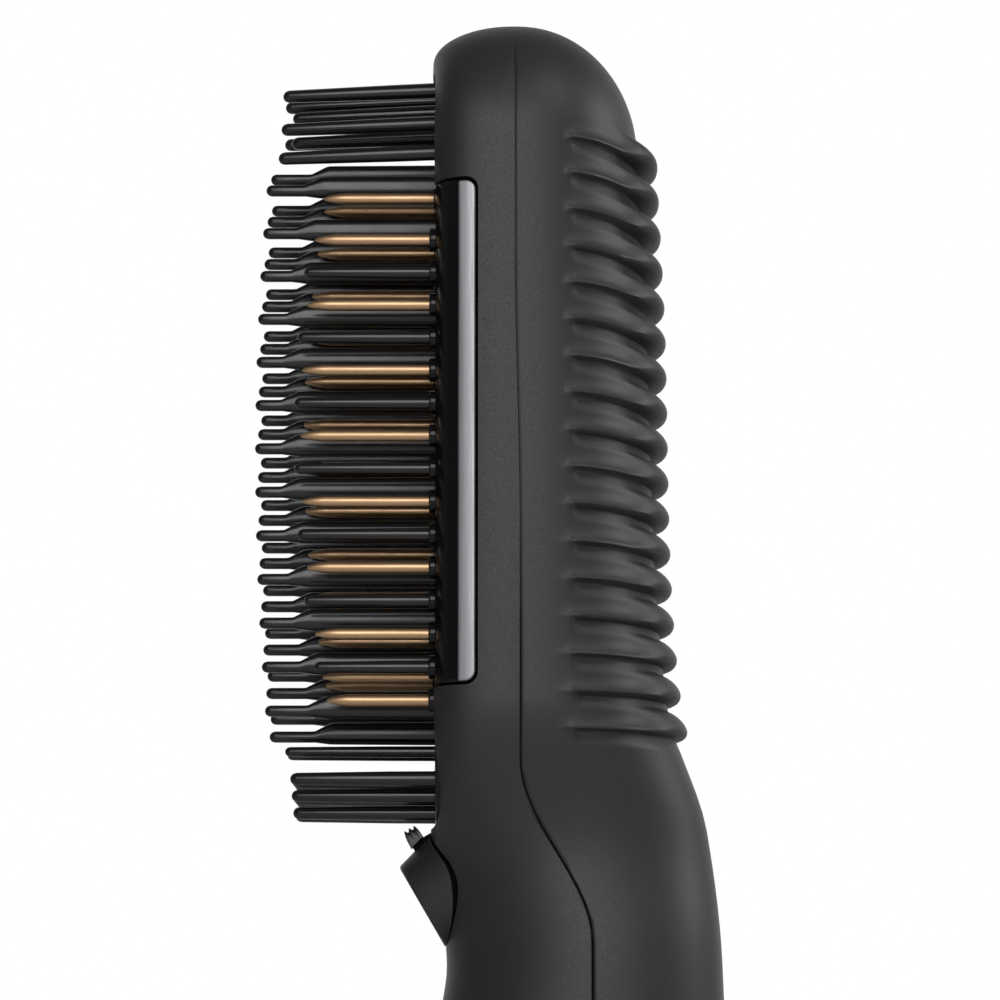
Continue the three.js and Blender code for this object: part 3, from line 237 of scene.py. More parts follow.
class BodyOutline:
    """The brush's outside: at each height a section with its own front, back and side reach."""
    crown_rise = 16.0       # height of the crown's curve at the back and the sides
    front_rise = 5.0        # the same at the front
    seam_behind = 0.8       # the seam's place in the grip, behind the axis
    seam_ahead = 8.4        # how far the neck carries it to the front
    seam_lean = 0.55        # how far it leans on towards the crown
    waist_loss = 0.3        # the front's exponent in the neck, less than in the grip
    head_gain = 3.1         # and in the head, more
    front_narrowing = 0.05  # share of its width that the head has lost at its very front

    def __init__(self, sizes):
        self.neck = neck = sizes["grip_length"]
        self.head = head = neck + sizes["neck_length"]
        self.top = top = head + sizes["head_length"]
        self.shoulder = shoulder = neck + 16
        self.comb_low, self.comb_high = neck + 16.6, top - 6.8
        self.window_low, self.window_high = head + 1.3, top - 21.9
        self.high_cover = neck - 8
        self.front = curve([[0, 13.4], [neck - 50, 17.6], [neck - 6, 17], [neck, 16.3], [shoulder, 18.2],
                            [head, 18.1]])
        self.back = curve([[0, 13.4], [neck - 50, 17.7], [neck, 16.6], [shoulder, 14.9], [head, 10.25],
                           [head + 18, 8.75], [head + 45, 8.0], [top - 14, 6.8], [top, 6.65]])
        self.side = curve([[0, 13.4], [neck - 50, 17], [neck, 15.0], [neck + 12.5, 13.7], [head, 18]])

    def seam(self, z):
        """Where the halves meet: ahead of the grip's axis in the head, and leaning on towards the crown."""
        ahead = self.seam_ahead * smooth(self.neck + 2.8, self.neck + 23.7, z)
        return self.seam_behind - ahead - self.seam_lean * smooth(self.head + 20, self.head + 52, z)

    def front_square(self, z):
        """Exponent of the front half: round at the neck and squarer in the head."""
        waist = smooth(self.neck - 20, self.neck + 4, z) - smooth(self.shoulder - 5, self.head - 6, z)
        return OVAL - self.waist_loss * waist + self.head_gain * smooth(self.shoulder - 5, self.head, z)

    def narrowing(self, z, share):
        """What is left of the width at a share of the way to the front: 1 less part of the share squared."""
        return 1 - self.front_narrowing * smooth(self.shoulder - 5, self.head, z) * share ** 2

    def section(self, z, angle, inset=0.0, bump=0.0):
        """Superellipse about the seam: depth times cos to the 2/n and width times sin to the 2/n.

        Angle 0 is the back and 180 degrees the front. The reaches shrink to the crown as quarter ellipses."""
        seam = self.seam(z)
        back = np.cos(angle) > 0
        full = np.where(back, self.back(z) - seam, self.front(z) + seam)
        rise = np.where(back, self.crown_rise, self.front_rise)

        def left(height):
            t = np.clip((z - self.top + inset + height) / height, 0, 1)
            return np.sqrt(1 - t * t)
        depth = (full - inset) * left(rise - inset) + bump
        width = (self.side(z) - inset) * left(self.crown_rise - inset) + bump
        square = self.front_square(z)
        square = square + (OVAL - square) * smooth(self.comb_high - 8, self.top, z)
        n = np.where(back, OVAL, square)
        along = np.abs(np.cos(angle)) ** (2 / n) * np.sign(np.cos(angle))
        across = np.abs(np.sin(angle)) ** (2 / n) * np.sign(np.sin(angle))
        across = across * self.narrowing(z, np.clip(-along, 0, 1))
        return np.stack([seam + depth * along, width * across, z + 0 * angle], -1)

    def half_width(self, x, z):
        """Half the front half's width at x, from the section's own equation."""
        seam = self.seam(z)
        square = self.front_square(z)
        share = np.clip((seam - x) / (self.front(z) + seam), 0, 1)
        return self.side(z) * (1 - share ** square) ** (1 / square) * self.narrowing(z, share)


# Meshes

def grid(rows, columns, start=0, wrap_rows=False, wrap_columns=False):
    """Four-sided faces of a grid of points kept row by row, as an array of point numbers."""
    r = np.arange(rows if wrap_rows else rows - 1)
    c = np.arange(columns if wrap_columns else columns - 1)
    rr, cc = np.meshgrid(r, c, indexing="ij")
    next_row = (rr + 1) % rows
    next_column = (cc + 1) % columns
    faces = np.stack([rr * columns + cc, rr * columns + next_column, next_row * columns + next_column,
                      next_row * columns + cc], -1)
    return start + faces.reshape(-1, 4)


def closed_tube(points):
    """Skin over points[row, column]: columns run round, and both end rows are filled from their middles."""
    rows, columns = points.shape[:2]
    ring = np.arange(columns)
    after = (ring + 1) % columns
    foot, head = rows * columns, rows * columns + 1
    last = (rows - 1) * columns
    low = np.stack([np.full(columns, foot), after, ring], -1)
    high = np.stack([np.full(columns, head), last + ring, last + after], -1)
    ends = np.stack([points[0].mean(0), points[-1].mean(0)])
    return np.concatenate([points.reshape(-1, 3), ends]), [grid(rows, columns, wrap_columns=True), low, high]


def closed_ring(points):
    """Skin of a ring over points[row, column]: rows run round its section and columns round its hole."""
    rows, columns = points.shape[:2]
    return points.reshape(-1, 3), [grid(rows, columns, wrap_rows=True, wrap_columns=True)]


def joined(parts):
    """Several pairs of points and blocks of faces as one."""
    points, faces, start = [], [], 0
    for part_points, blocks in parts:
        points.append(part_points)
        faces += [start + block for block in blocks]
        start += len(part_points)
    return np.concatenate(points), faces


def make_object(name, points, faces):
    """Mesh object from points in millimetres and blocks of faces, with its doubles merged, facing out."""
    mesh = bpy.data.meshes.new(name)
    placed = (np.asarray(points, float) + [AXIS, 0, 0]) * MM
    mesh.from_pydata(placed.tolist(), [], [face for block in faces for face in block.tolist()])
    work = bmesh.new()
    work.from_mesh(mesh)
    bmesh.ops.remove_doubles(work, verts=work.verts, dist=1e-7)
    bmesh.ops.recalc_face_normals(work, faces=work.faces)
    work.to_mesh(mesh)
    work.free()
    made = bpy.data.objects.new(name, mesh)
    bpy.context.scene.collection.objects.link(made)
    return made


def cut(piece, shape):
    """Takes a closed shape's volume out of the piece for good."""
    tool = make_object("cutting_tool", *shape)
    modifier = piece.modifiers.new("cut", "BOOLEAN")
    modifier.operation = "DIFFERENCE"
    modifier.solver = "EXACT"
    modifier.object = tool
    evaluated = piece.evaluated_get(bpy.context.evaluated_depsgraph_get())
    result = bpy.data.meshes.new_from_object(evaluated)
    piece.modifiers.remove(modifier)
    old = piece.data
    piece.data = result
    bpy.data.meshes.remove(old)
    bpy.data.objects.remove(tool)


def make_piece(name, shape, material, body, replaced=(), sharp=32, tools=()):
    """One visible piece: its shape less the tools, its material, smooth shading up to the sharp angle in
    degrees, and its body and replaced solids in the frame."""
    piece = make_object(name, *shape)
    for tool in tools:
        cut(piece, tool)
    mesh = piece.data
    mesh.materials.clear()
    mesh.materials.append(material)
    mesh.shade_smooth()
    mesh.set_sharp_from_angle(angle=math.radians(sharp))
    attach(piece, body)
    if replaced:
        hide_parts(*replaced)


def rounded_outline(half_p, half_q, corners, per_corner):
    """Closed outline of a rectangle with a quarter circle at each corner, from (+p, -q) round to (-p, -q)."""
    turns = []
    for (sp, sq), radius, start in zip([(1, -1), (1, 1), (-1, 1), (-1, -1)], corners, [-90, 0, 90, 180]):
        angle = np.radians(start + np.linspace(0, 90, per_corner))
        turns.append(np.stack([sp * (half_p - radius) + radius * np.cos(angle),
                               sq * (half_q - radius) + radius * np.sin(angle)], -1))
    return np.concatenate(turns)


def plate(half_p, half_q, corners, depth, edge, steps=5, per_corner=10):
    """Rounded rectangle as rows of (p, q, depth): a wall up to 0 that rolls over on a quarter circle."""
    roll = np.radians(np.linspace(0, 90, steps))
    rows = [(0.0, depth)] + [(edge * (1 - math.cos(a)), edge * (1 - math.sin(a))) for a in roll]
    rings = []
    for shrink, level in rows:
        radii = [max(radius - shrink, 0.02) for radius in corners]
        ring = rounded_outline(half_p - shrink, half_q - shrink, radii, per_corner)
        rings.append(np.column_stack([ring, np.full(len(ring), level)]))
    return np.stack(rings)


def standing(rows, x, height):
    """A plate's rows as a closed piece that faces the front at x, with its middle at the given height."""
    points, faces = closed_tube(rows)
    return np.stack([x + points[:, 2], points[:, 0], points[:, 1] + height], -1), faces


def round_ring(sides):
    """Points of a circle of radius 1."""
    angle = np.linspace(0, 2 * math.pi, sides, endpoint=False)
    return np.stack([np.cos(angle), np.sin(angle)], -1)


def turned(profile, sides=ROUND_SIDES):
    """Profile of (radius, height) points carried round the third axis."""
    radius, height = np.array(profile, float).T
    points = radius[:, None, None] * round_ring(sides)[None]
    return np.concatenate([points, np.broadcast_to(height[:, None, None], (len(radius), sides, 1))], -1)


def fillet(corner, before, after, radius, steps):
    """Points of a quadratic curve that rounds a profile's corner between its two neighbours."""
    corner, before, after = (np.array(p, float) for p in (corner, before, after))
    first = corner + (before - corner) / np.linalg.norm(before - corner) * radius
    last = corner + (after - corner) / np.linalg.norm(after - corner) * radius
    t = np.linspace(0, 1, steps)[:, None]
    return ((1 - t) ** 2 * first + 2 * t * (1 - t) * corner + t * t * last).tolist()


def softened(profile, radius, steps):
    """An open profile with every inner corner rounded."""
    points = [list(profile[0])]
    for before, corner, after in zip(profile, profile[1:], profile[2:]):
        room = 0.45 * min(math.dist(before, corner), math.dist(corner, after))
        points += fillet(corner, before, after, min(radius, room), steps)
    return points + [list(profile[-1])]


# Materials

METAL = {"Metallic": 1.0}


def add_node(tree, kind, inputs=None, **fields):
    """Adds a node, sets its fields and fills its inputs with values or with another node's output."""
    node = tree.nodes.new(kind)
    for key, value in fields.items():
        setattr(node, key, value)
    for key, value in (inputs or {}).items():
        if isinstance(value, bpy.types.NodeSocket):
            tree.links.new(value, node.inputs[key])
        else:
            node.inputs[key].default_value = value
    return node


def grained(name, rgb, roughness, grain_mm, relief, spread=0.12, roughness_spread=0.06, relief_mm=0.02,
            stretch=(1, 1, 1), finish=None):
    """Surface with a fine grain: one noise gives relief and roughness, and a broad one, in patches of about
    11 mm, slight changes of colour. Finish holds further inputs of the surface, whose IOR stays at the node's
    1.5, which suits the plastics."""
    material = bpy.data.materials.new(name)
    material.use_nodes = True
    tree = material.node_tree
    tree.nodes.clear()
    place = add_node(tree, "ShaderNodeTexCoord").outputs["Object"]
    drawn = add_node(tree, "ShaderNodeMapping", {"Vector": place, "Scale": stretch}).outputs["Vector"]
    fine = add_node(tree, "ShaderNodeTexNoise", {"Vector": drawn, "Scale": 1 / (grain_mm * MM),
                                                 "Detail": 3.0, "Roughness": 0.6}).outputs["Fac"]
    broad = add_node(tree, "ShaderNodeTexNoise", {"Vector": drawn, "Scale": 90.0, "Detail": 2.0})
    shade = add_node(tree, "ShaderNodeValToRGB", {"Fac": broad.outputs["Fac"]})
    darker, lighter = shade.color_ramp.elements
    for stop, position, share in ((darker, 0.3, 1 - spread), (lighter, 0.7, 1 + spread)):
        stop.position = position
        stop.color = [*(min(1.0, channel * share) for channel in rgb), 1]
    rough = add_node(tree, "ShaderNodeMapRange", {
        "Value": fine, "From Min": 0.3, "From Max": 0.7,
        "To Min": roughness - roughness_spread, "To Max": roughness + roughness_spread})
    bump = add_node(tree, "ShaderNodeBump", {"Height": fine, "Strength": relief, "Distance": relief_mm * MM})
    surface = add_node(tree, "ShaderNodeBsdfPrincipled", {
        "Base Color": shade.outputs["Color"], "Roughness": rough.outputs["Result"],
        "Normal": bump.outputs["Normal"], **(finish or {})})
    add_node(tree, "ShaderNodeOutputMaterial", {"Surface": surface.outputs["BSDF"]})
    return material


def soft_touch_abs(rgb):
    """ABS shell with a soft-touch lacquer: its fine grain scatters light, so highlights are broad and low.
    The real grain is about 0.05 mm and is drawn at 0.25 mm, the finest that shows."""
    return grained("soft_touch_lacquer_on_abs", rgb, 0.52, 0.25, 0.25, spread=0.06)


def gloss_pbt(name, rgb, roughness, specular=0.5):
    """Injection-moulded PBT from a polished tool: near mirror gloss with the slight waviness of shrinkage,
    about 3 mm long, that bends the reflections."""
    return grained(name, rgb, roughness, 3.0, 0.35, spread=0.1, roughness_spread=0.03, relief_mm=0.03,
                   finish={"Specular IOR Level": specular})


def coated_aluminium(rgb):
    """Aluminium teeth turned and coated bronze: drawn rods keep fine lines along X, about 0.1 mm apart,
    drawn at 0.25 mm, and the coating warms where it is thicker."""
    return grained("bronze_coated_turned_aluminium", rgb, 0.4, 0.25, 0.2, spread=0.16, roughness_spread=0.07,
                   relief_mm=0.015, stretch=(0.06, 1, 1),
                   finish={**METAL, "Coat Weight": 0.5, "Coat Roughness": 0.2})


def brushed_aluminium(rgb):
    """Anodised aluminium strip brushed along its length: scratches about 0.12 mm apart that run 8 mm, drawn
    at 0.2 mm, with faint darker patches from handling."""
    return grained("satin_brushed_anodised_aluminium", rgb, 0.54, 0.2, 0.3, spread=0.14,
                   roughness_spread=0.08, relief_mm=0.012, stretch=(1, 1, 0.03), finish=METAL)


def gap_shade_epdm(rgb):
    """Moulded EPDM: matt and nearly black, with a bloom of about 0.4 mm that dulls any highlight. Its
    near-black and low specular level are painted shade for the gaps round the pod's head and behind the
    trims; the slide track uses it too.
    """
    return grained("moulded_epdm_gasket", rgb, 0.9, 0.4, 0.3, spread=0.1, finish={"Specular IOR Level": 0.1})


def moulded_abs(name, rgb, roughness):
    """ABS from a spark-eroded tool: an even fine texture of about 0.3 mm."""
    return grained(name, rgb, roughness, 0.3, 0.3, spread=0.08)


def inner_materials():
    """Materials of the parts inside, by the record's slot, each with the grain of what it is made of."""
    def plain(name, hex_colour, roughness, grain, relief, **more):
        return grained(name, to_linear(hex_colour), roughness, grain, relief, **more)
    return {
        "amber_film": plain("polyimide_film", "#b5762a", 0.3, 1.2, 0.2),
        "ceramic": plain("pressed_ptc_ceramic", "#d9d4c8", 0.7, 0.4, 0.4),
        "brass": plain("rolled_brass_strip", "#b79a52", 0.33, 0.3, 0.2, finish=METAL, stretch=(1, 1, 0.05)),
        "mica": plain("layered_mica_sheet", "#b89f76", 0.5, 2.5, 0.4, spread=0.25),
        "spring_steel": plain("tempered_spring_steel", "#8d9094", 0.32, 0.3, 0.2, finish=METAL),
        "tinned_steel": plain("zinc_plated_steel", "#a4a7aa", 0.38, 0.4, 0.25, finish=METAL),
        "black_resin": plain("filled_epoxy_resin", "#1c1c1e", 0.55, 0.3, 0.35),
        "board_green": plain("solder_masked_glass_epoxy", "#1d5a36", 0.42, 0.8, 0.3, spread=0.2),
        "lead_black": plain("extruded_pvc_black", "#141416", 0.5, 0.5, 0.2),
        "lead_white": plain("silicone_sleeve_white", "#d8d8d6", 0.55, 0.5, 0.2),
        "lead_red": plain("silicone_sleeve_red", "#8f1f1c", 0.55, 0.5, 0.2),
    }


# Shells

def rib_sweep(sizes, outline, x, z):
    """How much higher a rib runs here than behind: the sweep grows from the lowest rib to the highest, and
    falls off with the square of the way from the rib's start to its level part."""
    level_after, above_highest = 11.5, 20
    run = np.clip((x - sizes["rib_start"]) / level_after, 0, 1)
    up = np.clip((z - outline.head) / (outline.top - above_highest - outline.head), 0, 1)
    return sizes["rib_sweep"] * up * (1 - run * run)


def rib_lift(sizes, outline, x, z):
    """Height of the ribs over the back: rounded fins behind, which run out on the side as lips over grooves.

    Behind, t runs from -1 at a fin's upper foot to 1 at its lower one, u is t less 0.2 of 1 - t squared, and
    the lift is the fin's height times 1 - u squared to the 0.6. On the side, q is the distance below a lip:
    the lip flares as 1 + q / 2 to the 2.5 and drops at once into the groove, which runs out smoothly below.
    On the way from the axis to the back, the fins rise and the lips sink."""
    lip_height, groove_depth = 0.62, 0.4
    pitch, count, start = sizes["rib_pitch"], sizes["rib_count"], sizes["rib_start"]
    level = z - rib_sweep(sizes, outline, x, z)
    first = outline.head - sizes["rib_drop"]
    number = np.clip(np.round((level - first) / pitch), 0, count - 1)
    share = number / (count - 1)
    height = sizes["rib_height_low"] + (sizes["rib_height_high"] - sizes["rib_height_low"]) * share
    t = np.clip((first + number * pitch - level) / sizes["rib_half"], -1, 1)
    u = t - 0.2 * (1 - t * t)
    fin = height * np.clip(1 - u * u, 0, 1) ** 0.6
    lowest_lip = first - 0.28 * pitch
    number = np.clip(np.floor((level - lowest_lip) / pitch + 0.55), 0, count - 1)
    q = lowest_lip + number * pitch - level
    drop = smooth(0, 0.55, q)
    lip = lip_height * (np.clip(1 + q / 2.0, 0, 1) ** 2.5 - drop) * smooth(start - 1.0, start + 0.6, x)
    groove = groove_depth * (drop - smooth(0.6, 2.2, q)) * smooth(start - 0.3, start + 1.4, x)
    way = x / outline.back(z)
    return fin * smooth(0.55, 0.97, way) + (lip - groove) * (1 - 0.8 * smooth(0.7, 1.0, way))


def shell_levels(outline, inset, ribbed):
    """Heights of the rows: even along the body, closer along the ribs, then in equal turns of the crown's
    quarter ellipse, up to just before its pole."""
    dome, pole = outline.top - outline.crown_rise, 89.9
    if ribbed:
        ribs_from = outline.head - 6
        straight = np.concatenate([np.linspace(SHELL_FOOT, ribs_from, 80)[:-1],
                                   np.linspace(ribs_from, dome, 390)[:-1]])
        turn = np.concatenate([np.linspace(0, 30, 64)[:-1], np.linspace(30, pole, 30)])
    else:
        straight = np.linspace(SHELL_FOOT, dome, 210)[:-1]
        turn = np.linspace(0, pole, 56)
    rise = outline.crown_rise - inset
    return np.concatenate([straight, outline.top - inset - rise + rise * np.sin(np.radians(turn))])


def half_shell(sizes, outline, side):
    """Closed wall of the front (side -1) or rear (side 1) shell, from its foot to the crown.

    The outer skin runs from one seam edge round to the other, and the inner skin back again. Near the seam
    the outer skin turns in on a quarter circle, so that the edge is rounded. The seam's gap and rounding
    narrow up the head and towards the crown's top, and inside the halves meet. The rear shell's rows follow
    the sweep of its ribs."""
    columns, faded_after = 56, 12
    wall, ribbed = sizes["wall"], side > 0
    head, top = outline.head, outline.top
    close = np.array([0.0, 0.002, 0.006, 0.012, 0.02])
    if ribbed:
        close = np.concatenate([close, np.linspace(0.09, 0.13, 8)])
    share = np.unique(np.concatenate([close, np.linspace(0, 1, columns), 1 - close]))
    middle = 0 if ribbed else math.pi
    angle = (middle - math.pi / 2 + math.pi * share)[None, :]

    def skin(inset, outside):
        z = shell_levels(outline, inset, ribbed)[:, None]
        bare = outline.section(z, angle, inset)
        if outside and ribbed:
            z = z + rib_sweep(sizes, outline, bare[..., 0], z) * (1 - smooth(top - 18, top - 3, z))
            bare = outline.section(z, angle, inset)
        seam = outline.seam(z)
        narrowed = 1 - 0.6 * smooth(head - 5, head + 25, z) - 0.4 * smooth(top - 9, top - 2, z)
        open_by = -0.03
        if outside:
            open_by = sizes["seam_gap"] / 2 * narrowed
            roll = sizes["seam_roll"] * (0.1 + 0.9 * narrowed)
            away = np.abs(bare[..., 0] - seam)
            turn = roll - np.sqrt(np.clip(roll ** 2 - np.clip(roll - away, 0, roll) ** 2, 0, None))
            bump = rib_lift(sizes, outline, bare[..., 0], z) if ribbed else 0.0
            bare = outline.section(z, angle, inset, bump - turn)
        away = np.abs(bare[..., 0] - seam)
        bare[..., 0] = seam + side * (away * (1 - open_by / faded_after) + open_by)
        return bare
    loop = np.concatenate([skin(0.0, True), skin(wall, False)[:, ::-1]], 1)
    rows, width = loop.shape[:2]
    k = np.arange(width // 2 - 1)
    rim = np.stack([k, k + 1, width - 2 - k, width - 1 - k], -1)
    return loop.reshape(-1, 3), [grid(rows, width, wrap_columns=True), rim, rim + (rows - 1) * width]


def in_pod(shape, pod, outline):
    """A shape given up the pod's face, across it and inward along the button's travel, placed on the neck."""
    points, faces = shape
    face_ahead, face_up = 2.9, 7.1
    inward = np.array([math.cos(pod["tilt"]), 0, math.sin(pod["tilt"])])
    upward = np.array([-math.sin(pod["tilt"]), 0, math.cos(pod["tilt"])])
    face_middle = np.array([-outline.front(outline.neck) - face_ahead, 0, outline.neck + face_up])
    return points @ np.stack([upward, np.cross(inward, upward), inward]) + face_middle, faces


def flank(pod, depth):
    """Radius of the pod's growing flank at a depth behind its face."""
    return pod["face_radius"] + pod["taper"] * depth


def prism(outline_points, low, high, axes):
    """Outline carried from low to high along the third of the given axes."""
    rings = [np.column_stack([outline_points, np.full(len(outline_points), level)]) for level in (low, high)]
    points, faces = closed_tube(np.stack(rings))
    placed = np.empty_like(points)
    placed[:, list(axes)] = points
    return placed, faces


def window_tool(outline):
    """Block that opens the side windows, with rounded corners towards the back."""
    low, high = outline.window_low, outline.window_high
    half_block, corner = 20, 1.5
    edge = rounded_outline(half_block, (high - low) / 2, [corner, corner, 0.1, 0.1], 12)
    return prism(edge + [WINDOW_BACK - half_block, (low + high) / 2], -60, 60, (0, 2, 1))


def comb_tool(outline, comb):
    """Block that opens the front for the comb's strip, with a gap round it."""
    gap = 0.3
    low, high = outline.comb_low - gap, outline.comb_high + gap
    edge = rounded_outline(comb["half_width"] + gap, (high - low) / 2, [comb["corner"] + gap] * 4, 16)
    return prism(edge + [0, (low + high) / 2], -60, -comb["face"] + comb["thickness"] + 2 * gap, (1, 2, 0))


def pod_tool(outline, pod):
    """Cone that opens the neck for the pod, wider across the brush than along it."""
    gap, wider = 0.06, 1.075
    straight, skirt = flank(pod, -2) + gap, flank(pod, POD_SKIRT) + gap
    points, faces = closed_tube(turned([(straight, -8), (straight, -2), (skirt, POD_SKIRT), (skirt, 11.4)]))
    return in_pod((points * [1, wider, 1], faces), pod, outline)


def cover_tool(height):
    """Cylinder that opens the back of the grip for a screw cover."""
    return prism(3.15 * round_ring(64) + [0, height], 14.2, 30, (1, 2, 0))


# Comb

def on_arc(reach, drop, outline, z):
    """Reach less drop times the squared distance from the middle of the toothed field."""
    field_middle = 32.5
    return reach - drop * (z - outline.head - field_middle) ** 2


def spikes(y, z, x, shift, half_y, half_z, sides, power=2.0):
    """Closed spikes along -X, one for each place.

    x, shift, half_y and half_z hold one row of stations per spike; each section is a superellipse with
    |cos| and |sin| to the 2/power."""
    angle = np.linspace(0, 2 * math.pi, sides, endpoint=False) + math.pi / sides
    across = np.sign(np.cos(angle)) * np.abs(np.cos(angle)) ** (2 / power)
    along = np.sign(np.sin(angle)) * np.abs(np.sin(angle)) ** (2 / power)
    points = np.empty((*x.shape, sides, 3))
    points[..., 0] = -x[..., None]
    points[..., 1] = y[:, None, None] + half_y[..., None] * across
    points[..., 2] = (z[:, None] + shift)[..., None] + half_z[..., None] * along
    return joined([closed_tube(spike) for spike in points])


def both_sides(y, z):
    """Places at -y and y, or at the middle alone."""
    sides = [0.0] if y == 0 else [-y, y]
    return [(s, level) for level in np.atleast_1d(z) for s in sides]


def tip_rows(tip, radius):
    """Stations of a rounded end: distances back from the tip and radii on a quarter circle."""
    turn = np.radians([0, 30, 52, 70, 84])
    return tip[:, None] - radius * (1 - np.sin(turn)), np.tile(radius * np.cos(turn), (len(tip), 1))


def stations(places, *columns):
    """Station values for each of the places, from columns of one number for all or one for each."""
    return np.stack([np.broadcast_to(np.asarray(column, float), (len(places),)) for column in columns], 1)


def middle_levels(outline, comb):
    """Heights of the middle column of long pins."""
    first = outline.head - FIRST_PIN
    rows = int((outline.top - LAST_PIN - first) // comb["pin_pitch"]) + 1
    return first + comb["pin_pitch"] * np.arange(rows)


def long_pins(outline, comb):
    """Stepped pins: a tall flat blade that slopes down to a thin round tip, through stations along its length
    whose half heights, half widths and shifts up are given one by one."""
    levels = middle_levels(outline, comb)
    between = levels[:-1] + 0.5 * comb["pin_pitch"]
    y, z = np.array(both_sides(0, levels) + both_sides(LONG_COLUMN, between)).T
    tip_arc, step_reach = 0.0013, 36.4
    tip = on_arc(comb["pin_reach"], tip_arc, outline, z)
    step = on_arc(step_reach, TOOTH_ARC, outline, z)
    root, r = comb["face"] - PIN_SINK, comb["pin_tip_radius"]
    end_x, end_r = tip_rows(tip, r)
    x = stations(z, root, root + 0.5, step - 2.5, step - 2.0, step - 0.25, step + 0.2)
    shift = stations(z, 0.4, 0.4, 0.4, 0.36, 0.02, 0, 0, 0, 0, 0, 0)
    half_z = stations(z, 1.55, 1.4, 1.32, 1.26, r * 1.02, r)
    half_y = stations(z, 1.1, 0.95, 0.86, 0.84, r * 1.02, r)
    x, half_y, half_z = (np.concatenate(pair, 1) for pair in ((x, end_x), (half_y, end_r), (half_z, end_r)))
    return spikes(y, z, x, shift, half_y, half_z, 16, 2.6)


def plain_pins(places, comb, outline, reach, arc, radius, tip_radius, lean=0.0):
    """Round pins that taper to a rounded tip; lean lifts the root."""
    y, z = np.array(places).T
    tip = on_arc(reach, arc, outline, z)
    root = comb["face"] - PIN_SINK
    end_x, end_r = tip_rows(tip, tip_radius)
    x = np.concatenate([stations(z, root, root + 0.7, root + 6), end_x], 1)
    half = np.concatenate([stations(z, radius * 1.12, radius, radius * 0.97), end_r], 1)
    run = (x - x[:, :1]) / (tip[:, None] - x[:, :1])
    return spikes(y, z, x, lean * (1 - run), half, half, 12)


def outer_places(outline, teeth, odd):
    """Places in the outer columns: even steps hold heated teeth, odd ones plain pins."""
    above_last = 27.9
    steps = np.arange(int((outline.top - above_last - outline.head) // teeth["outer_pitch"]) + 1)
    steps = steps[steps % 2 == odd]
    return both_sides(OUTER_COLUMN, outline.head + steps * teeth["outer_pitch"])


def inner_places(outline, comb):
    """Heated teeth in the inner columns, just above the level of the middle column's long pins."""
    return both_sides(INNER_COLUMN, middle_levels(outline, comb)[1:-1] + 0.7)


def end_places(outline):
    """Heated teeth at both ends of the outer columns."""
    return both_sides(END_COLUMN, np.array([outline.head + 3, outline.top - LAST_TOOTH]))


def end_pins(outline, comb):
    """Plain pins above and below the heated field."""
    top, low = outline.top, outline.comb_low
    above, below = [], []
    for row, y in enumerate([3, 4.2, 8]):
        above += both_sides(y, top - 8.95 - 4.4 * row)
    for row, y in ((0, 3), (1, 0), (1, 6), (2, 3), (2, 8.4)):
        below += both_sides(y, low + 1.6 + 1.85 * row)
    middle = [(0.0, top - 11), (0.0, top - 14.1)]
    lowest = both_sides(INNER_COLUMN, outline.head - 5.5)
    arc, radius, tip_radius, lean = 0.00036, 0.95, 0.76, 0.8
    return joined([plain_pins(above, comb, outline, 37, arc, radius, tip_radius, lean),
                   plain_pins(below, comb, outline, 35.3, arc, radius, tip_radius),
                   plain_pins(middle, comb, outline, 35.9, arc, radius, tip_radius, lean),
                   plain_pins(lowest, comb, outline, 36.1, arc, 0.7, 0.6)])


def sockets(places, comb, inner, outer, height):
    """Raised rings round the teeth: a wall with a rounded lip, open in the middle."""
    sunk, sides = 0.25, 18
    lip, middle = (outer - inner) / 2, (outer + inner) / 2
    turn = np.radians(np.linspace(0, 180, 7))
    rim = [(middle + lip * math.cos(a), -height + lip * (1 - math.sin(a))) for a in turn]
    ring = turned([(outer, sunk), *rim, (inner, sunk)], sides)
    across, up, ahead = np.moveaxis(ring, -1, 0)
    return joined([closed_ring(np.stack([ahead - comb["face"], y + across, z + up], -1)) for y, z in places])


def comb_tray(outline, comb):
    """Tray between the windows, whose sides follow the shell, and the rounded strip above and below it.

    The tray's side edges roll over a quarter circle to the face, and its ends over a smaller one."""
    face, back = comb["face"], comb["face"] - comb["thickness"]
    edge, end_edge, gap = 0.35, 0.3, 0.06
    low, high = outline.window_low + 0.3, outline.window_high - 0.3
    z = np.concatenate([[low, low + 0.05, low + 0.2], np.linspace(low + 0.6, high - 0.6, 40),
                        [high - 0.2, high - 0.05, high]])[:, None]
    end = np.clip(np.minimum(z - low, high - z), 0, end_edge)
    shrink = end_edge - np.sqrt(np.clip(end_edge ** 2 - (end_edge - end) ** 2, 0, None))
    run = np.linspace(0, 1, 14)[None, :]
    x = -(back - end_edge) - (face - back + end_edge) * run + shrink * run
    near = np.clip(edge - (face + x), 0, edge)
    y = outline.half_width(x, z) - gap - shrink - (edge - np.sqrt(np.clip(edge ** 2 - near ** 2, 0, None)))
    x, y, z = np.broadcast_arrays(x, y, z)
    right = np.stack([x, y, z], -1)
    left = np.stack([x, -y, z], -1)[:, ::-1]
    tray = closed_tube(np.concatenate([right, left], 1))
    low, high = outline.comb_low, outline.comb_high
    strip = plate(comb["half_width"], (high - low) / 2, [comb["corner"]] * 4, comb["thickness"], edge, 5, 20)
    return joined([tray, standing(strip, 0.03 - face, (low + high) / 2)])


